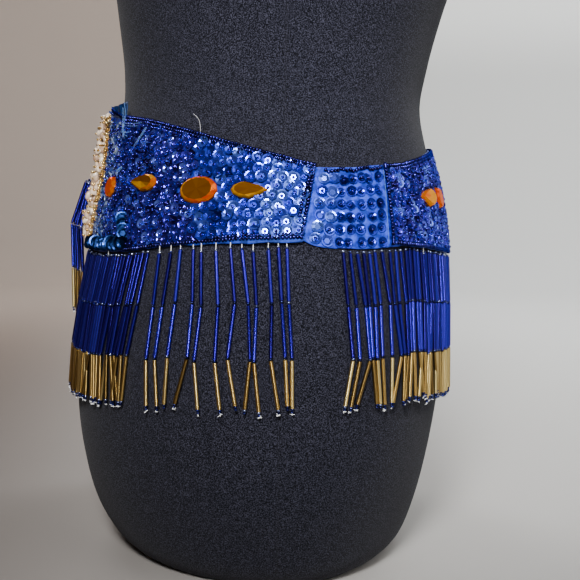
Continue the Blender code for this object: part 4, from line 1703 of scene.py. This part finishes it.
def buildStrands(name, strands, node, seed, scale=1.0):
    # strands: angle, three leans, height of the top, how far the end swings out, loose top thread
    rng = random.Random(seed)
    lists = newStrandLists()
    for angle, leans, top, swing, loose in strands:
        perDegree = arcAt(angle + 0.5) - arcAt(angle - 0.5)
        out = fringe["clearance"] + fringe["bugleWidth"] / 2 + rng.uniform(0, 0.0006)
        drop = fringe["topGap"] + rng.uniform(0.0002, 0.0034) if loose \
            else fringe["show"] + rng.uniform(0.0, 0.0012)
        start = hangPoint(angle, top - drop, top, out)
        if loose:
            root = skinPoint(angle, top + 0.0008, out + 0.0004)
            way = start - root
            size = (fringe["threadWidth"], fringe["threadWidth"], way.length)
            lists["threads"].append(((root + start) / 2, turnAlong(way), size, 0.5))
        knots = [start]
        for part, lean in enumerate(leans):
            level = knots[-1].z - scale * fringe["bugle"] - fringe["gap"] * 2
            knots.append(hangPoint(angle + lean / perDegree, level, top, out + swing * (part + 1) / 3))
        threadStrand(lists, knots, rng, scale)
    finishStrands(name, lists, node, seed)
    print(name, len(strands), "strands")


# strands that hang off the centre back gem: across, then how far behind the side line each knot
# lies, with its height
tassel = {
    "root": (0.1300, 0.2520),
    "seeds": 6,
    "seedSize": 0.0021,
    "sway": 0.0006,
    "strands": (
        (-0.0046, ((0.1422, 0.2480), (0.1514, 0.2206), (0.1514, 0.1852), (0.1505, 0.1561))),
        (-0.0014, ((0.1414, 0.2467), (0.1490, 0.2185), (0.1488, 0.1860), (0.1490, 0.1569))),
        (-0.0030, ((0.1400, 0.2460), (0.1462, 0.2157), (0.1452, 0.1853), (0.1469, 0.1562))),
        (0.0016, ((0.1422, 0.2476), (0.1510, 0.2190), (0.1508, 0.1856), (0.1502, 0.1560))),
        (0.0042, ((0.1412, 0.2470), (0.1492, 0.2190), (0.1490, 0.1862), (0.1488, 0.1566))),
        (0.0034, ((0.1402, 0.2462), (0.1466, 0.2166), (0.1458, 0.1858), (0.1470, 0.1560))),
    ),
}


def buildTassel():
    rng = random.Random(70)
    lists = newStrandLists()
    seeds = tassel["seeds"]
    for across, rest in tassel["strands"]:
        knots = [Vector((skin["sideLineX"] - behind, across + rng.uniform(-1, 1) * tassel["sway"] * part,
                         height)) for part, (behind, height) in enumerate(rest)]
        root = Vector((skin["sideLineX"] - tassel["root"][0], across * 0.5, tassel["root"][1]))
        for i in range(seeds):
            lists["seeds"].append((root.lerp(knots[0], i / seeds), turnAlong(knots[0] - root),
                                   (tassel["seedSize"],) * 3, rng.random()))
        threadStrand(lists, knots, rng)
    finishStrands("tassel", lists, "centre_back_tassel", 71)


def denseStrands(first, last, rng, lean, swing):
    strands, arc = [], arcAt(first)
    while arc <= arcAt(last):
        angle = angleAt(arc)
        drift = lean(angle)
        leans = [drift * share + rng.gauss(0, spread) for share, spread in fringe["denseLeans"]]
        out = swing(angle) + rng.uniform(0, 0.0012)
        strands.append((angle, leans, panelBottom(angle), out, rng.random() < fringe["denseLoose"]))
        arc += fringe["densePitch"] * rng.uniform(0.78, 1.25)
    return strands


def buildFringe():
    rng = random.Random(17)

    def backLean(angle):
        # both sides trail towards the centre back
        side = fromFront(angle)
        lean = fringe["backTrail"] * ease((side - 110) / 20) * ease((178 - side) / 40)
        return lean if angle < 180 else -lean

    def backSwing(angle):
        return fringe["backSwing"] * ease((fromFront(angle) - 135) / 20)

    def frontLean(angle):
        return -fringe["frontTrail"] if angle > 0 else fringe["frontTrail"]

    right = [(a, leans, panelBottom(a), fringe["sparseSwing"], True) for a, *leans in fringe["sparse"]]
    left = [(360 - a, [-lean for lean in leans], *rest) for a, leans, *rest in right]
    dense = denseStrands(fringe["denseBackFrom"], 360 - fringe["denseBackFrom"], rng, backLean, backSwing)
    buildStrands("backFringe", right + left + dense, "fringe_back", 61)
    front = denseStrands(*fringe["frontSpan"], rng, frontLean, lambda _angle: fringe["frontSwing"])
    buildStrands("frontFringe", front, "fringe_front", 62, fringe["frontScale"])
    tab = [(a, leans, tabBottom(a), fringe["frontSwing"], False) for a, *leans in fringe["tab"]]
    buildStrands("tabFringe", tab, "fringe_tab", 63, fringe["tabScale"])


buildFringe()
buildTassel()
print("fringe made")


looseThreads = {
    "radius": 0.00014,
    # knots of each thread: angle, height, how far off the panel's face
    "blue": (
        ((144.6, 0.2970, 0.0050), (143.9, 0.2904, 0.0040), (143.7, 0.2840, 0.0040), (143.6, 0.2776, 0.0036),
         (144.2, 0.2732, 0.0014)),
        ((145.6, 0.2936, 0.0040), (145.0, 0.2868, 0.0036), (144.7, 0.2804, 0.0034), (145.2, 0.2752, 0.0014)),
        ((148.4, 0.2848, 0.0014), (142.3, 0.2828, 0.0024), (137.5, 0.2828, 0.0022), (133.6, 0.2832, 0.0012)),
        ((147.5, 0.2828, 0.0014), (141.1, 0.2812, 0.0020), (136.4, 0.2812, 0.0012)),
        ((134.0, 0.2816, 0.0012), (134.1, 0.2772, 0.0026), (136.0, 0.2716, 0.0026), (138.2, 0.2676, 0.0012)),
        ((134.5, 0.2812, 0.0012), (134.8, 0.2768, 0.0026), (136.7, 0.2712, 0.0026), (138.7, 0.2680, 0.0012)),
        ((144.2, 0.2786, 0.0016), (142.6, 0.2770, 0.0040), (141.1, 0.2774, 0.0026)),
        ((144.2, 0.2780, 0.0016), (143.2, 0.2762, 0.0036), (142.3, 0.2748, 0.0022)),
        ((144.4, 0.2784, 0.0016), (145.2, 0.2784, 0.0036), (145.9, 0.2776, 0.0020)),
        ((144.0, 0.2776, 0.0016), (143.6, 0.2756, 0.0036), (144.4, 0.2738, 0.0022)),
        ((142.8, 0.2554, 0.0014), (142.2, 0.2528, 0.0044), (144.0, 0.2496, 0.0026)),
        ((143.3, 0.2556, 0.0014), (142.7, 0.2526, 0.0046), (143.6, 0.2490, 0.0026)),
        ((142.4, 0.2550, 0.0014), (142.0, 0.2520, 0.0042), (144.4, 0.2502, 0.0024)),
        ((58.2, 0.2545, 0.0004), (58.5, 0.2440, 0.0006), (58.7, 0.2330, 0.0006), (58.9, 0.2220, 0.0006),
         (58.9, 0.2112, 0.0004)),
    ),
    "pale": (
        # one stray white fibre off the top edge
        ((114.0, 0.2745, 0.0010), (114.3, 0.2790, 0.0014), (115.2, 0.2835, 0.0016), (117.0, 0.2868, 0.0018)),
    ),
}


def smoothPath(knots, steps=6):
    # a Catmull-Rom curve through the knots
    ends = [2 * knots[0] - knots[1]] + list(knots) + [2 * knots[-1] - knots[-2]]
    path = []
    for a, b, c, d in zip(ends, ends[1:], ends[2:], ends[3:]):
        for i in range(steps):
            t = i / steps
            path.append(0.5 * (2 * b + (c - a) * t + (2 * a - 5 * b + 4 * c - d) * t * t
                               + (3 * b - a - 3 * c + d) * t * t * t))
    return path + [knots[-1]]


def tubeAlong(verts, faces, path, radius, sides=5):
    first = len(verts)
    for i, place in enumerate(path):
        way = (path[min(i + 1, len(path) - 1)] - path[max(i - 1, 0)]).normalized()
        across = way.cross(Vector((0.31, 0.23, 0.92))).normalized()
        other = way.cross(across)
        verts += [place + across * x + other * y for x, y, _z in ringPlaces(radius, 0, sides)]
    for i in range(len(path) - 1):
        faces += bandFaces(first + i * sides, first + (i + 1) * sides, sides)
    faces += [tuple(range(first, first + sides)), tuple(range(len(verts) - sides, len(verts)))]


def buildLooseThreads():
    for name, group, material, radius in (
            ("looseBlueThreads", "blue", threadBlue, looseThreads["radius"]),
            ("strayFibre", "pale", threadWhite, looseThreads["radius"] * 0.5)):
        verts, faces = [], []
        for knots in looseThreads[group]:
            # those by the right braid have twins by the left one
            twins = (1, -1) if group == "blue" and knots[0][0] > 90 else (1,)
            for way in twins:
                places = [skinPoint(way * a % 360, z, panelFace(a) + off) for a, z, off in knots]
                tubeAlong(verts, faces, smoothPath(places), radius)
        threads = meshFrom(name, verts, faces, material)
        outwardFaces(threads)
        finishPiece(threads, "belt_satin")


buildLooseThreads()
print("loose threads made")


camera = {
    "x": skin["sideLineX"] + 0.005,
    "distance": 0.80,
    "height": 0.23,
    "pitch": 4.15,
    "roll": 1.0,
    "lens": 68.65,
    "sensor": 36.0,
}


def buildCamera():
    data = bpy.data.cameras.new("camera")
    data.lens = camera["lens"]
    data.sensor_width = camera["sensor"]
    data.clip_start = 0.02
    thing = linkObject("camera", data)
    pitch, roll = math.radians(camera["pitch"]), math.radians(camera["roll"])
    right, up = Vector((1, 0, 0)), Vector((0, math.sin(pitch), math.cos(pitch)))
    back = Vector((0, -math.cos(pitch), math.sin(pitch)))
    turnedRight = right * math.cos(roll) + up * math.sin(roll)
    turnedUp = up * math.cos(roll) - right * math.sin(roll)
    basis = Matrix((turnedRight, turnedUp, back)).transposed().to_4x4()
    basis.translation = Vector((camera["x"], -camera["distance"], camera["height"]))
    thing.matrix_world = basis
    bpy.context.scene.camera = thing


studio = {
    "sides": 96,
    "floorRadius": 2.4,
    "floorDrop": 0.0005,
    "bend": 1.0,                     # radius of the curve from the floor to the wall
    "bendSteps": 12,
    "wallTop": 3.2,
    # painted light and shade: the paper is darker on the left, darkest there close in front of the form,
    # lighter on the right and lighter still high up on the right. Where the paper's tones change: axis,
    # from, to
    "across": (0, -0.55, 0.55),
    "away": (1, 0.3, 2.6),
    "up": (2, 0.70, 1.00),
    "leftTones": ((0.141, 0.105, 0.086), (0.455, 0.372, 0.317)),
    "rightTones": ((0.690, 0.680, 0.655), (0.705, 0.696, 0.673)),
    "highTone": (0.960, 0.950, 0.920, 1.0),
    "air": (0.84, 0.87, 0.95, 1),
    "airStrength": 0.11,
    # name, place, aim, size, power, colour, cone of a spot
    "lights": (
        ("keyLight", (-0.10, -1.15, 0.80), (0.02, 0.0, 0.22), 0.26, 119.0, (1, 1, 1), 36),
        ("lowLight", (0.05, -1.15, 0.11), (0.0, 0.0, 0.20), 0.15, 8.0, (1, 1, 1), 32),
        ("fillLight", (1.3, -1.0, 1.6), (0.0, 0.0, 0.35), 2.0, 20.0, (1, 1, 1), None),
        ("backLight", (-0.9, 1.5, 1.6), (0.0, 0.0, 0.35), 1.0, 18.0, (1, 1, 1), None),
        ("wallLight", (1.1, 0.9, 2.3), (0.7, 3.3, 0.9), 1.2, 88.0, (0.93, 0.97, 1.0), None),
    ),
}


def addLight(name, place, aim, size, power, colour, cone):
    data = bpy.data.lights.new(name, "SPOT" if cone else "AREA")
    if cone:
        data.shadow_soft_size = size / 2
        data.spot_size = math.radians(cone)
        data.spot_blend = 1.0
    else:
        data.shape = "DISK"
        data.size = size
    data.energy = power
    data.color = colour
    thing = linkObject(name, data)
    thing.location = place
    thing.rotation_euler = (Vector(aim) - Vector(place)).to_track_quat("-Z", "Y").to_euler()


def paperMaterial():
    paper, shader = newMaterial("paper", Roughness=0.9, Specular_IOR_Level=0.1)
    tree = paper.node_tree
    place = addNode(tree, "ShaderNodeTexCoord")
    split = addNode(tree, "ShaderNodeSeparateXYZ")
    wire(tree, (place, "Object", split, 0))
    spans = {}
    for label in ("across", "away", "up"):
        axis, low, high = studio[label]
        spans[label] = addNode(tree, "ShaderNodeMapRange", {"From Min": low, "From Max": high},
                               interpolation_type="SMOOTHSTEP")
        wire(tree, (split, axis, spans[label], "Value"))
    # painted shade on the left, painted light on the right and high up
    left = mixColours(paper, spans["away"].outputs[0], *studio["leftTones"])
    right = mixColours(paper, spans["away"].outputs[0], *studio["rightTones"])
    high = addNode(tree, "ShaderNodeMix", {7: studio["highTone"]}, data_type="RGBA")
    tone = addNode(tree, "ShaderNodeMix", data_type="RGBA")
    tree.links.new(right, high.inputs[6])
    tree.links.new(left, tone.inputs[6])
    wire(tree, (spans["up"], 0, high, 0), (high, 2, tone, 7), (spans["across"], 0, tone, 0),
         (tone, 2, shader, "Base Color"))
    return paper


def buildStage():
    # a round sweep: a flat floor that curves up into a low wall all round
    sides, floor, bend, drop = (studio[key] for key in ("sides", "floorRadius", "bend", "floorDrop"))
    profile = [(floor, -drop)]
    for i in range(1, studio["bendSteps"] + 1):
        angle = math.pi / 2 * i / studio["bendSteps"]
        profile.append((floor + bend * math.sin(angle), bend * (1 - math.cos(angle)) - drop))
    profile.append((floor + bend, studio["wallTop"]))
    verts, faces = [(0, 0, -drop)], [(0, 1 + i, 1 + (i + 1) % sides) for i in range(sides)]
    for radius, z in profile:
        verts += ringPlaces(radius, z, sides)
    for ring in range(len(profile) - 1):
        faces += bandFaces(1 + (ring + 1) * sides, 1 + ring * sides, sides)
    meshFrom("studioSweep", verts, faces, paperMaterial())
    world = bpy.data.worlds.new("studio")
    bpy.context.scene.world = world
    world.use_nodes = True
    background = world.node_tree.nodes["Background"]
    background.inputs["Color"].default_value = studio["air"]
    background.inputs["Strength"].default_value = studio["airStrength"]
    for light in studio["lights"]:
        addLight(*light)


buildCamera()
buildStage()
for part in parts.values():
    bpy.data.objects.remove(part)
print("stage made")
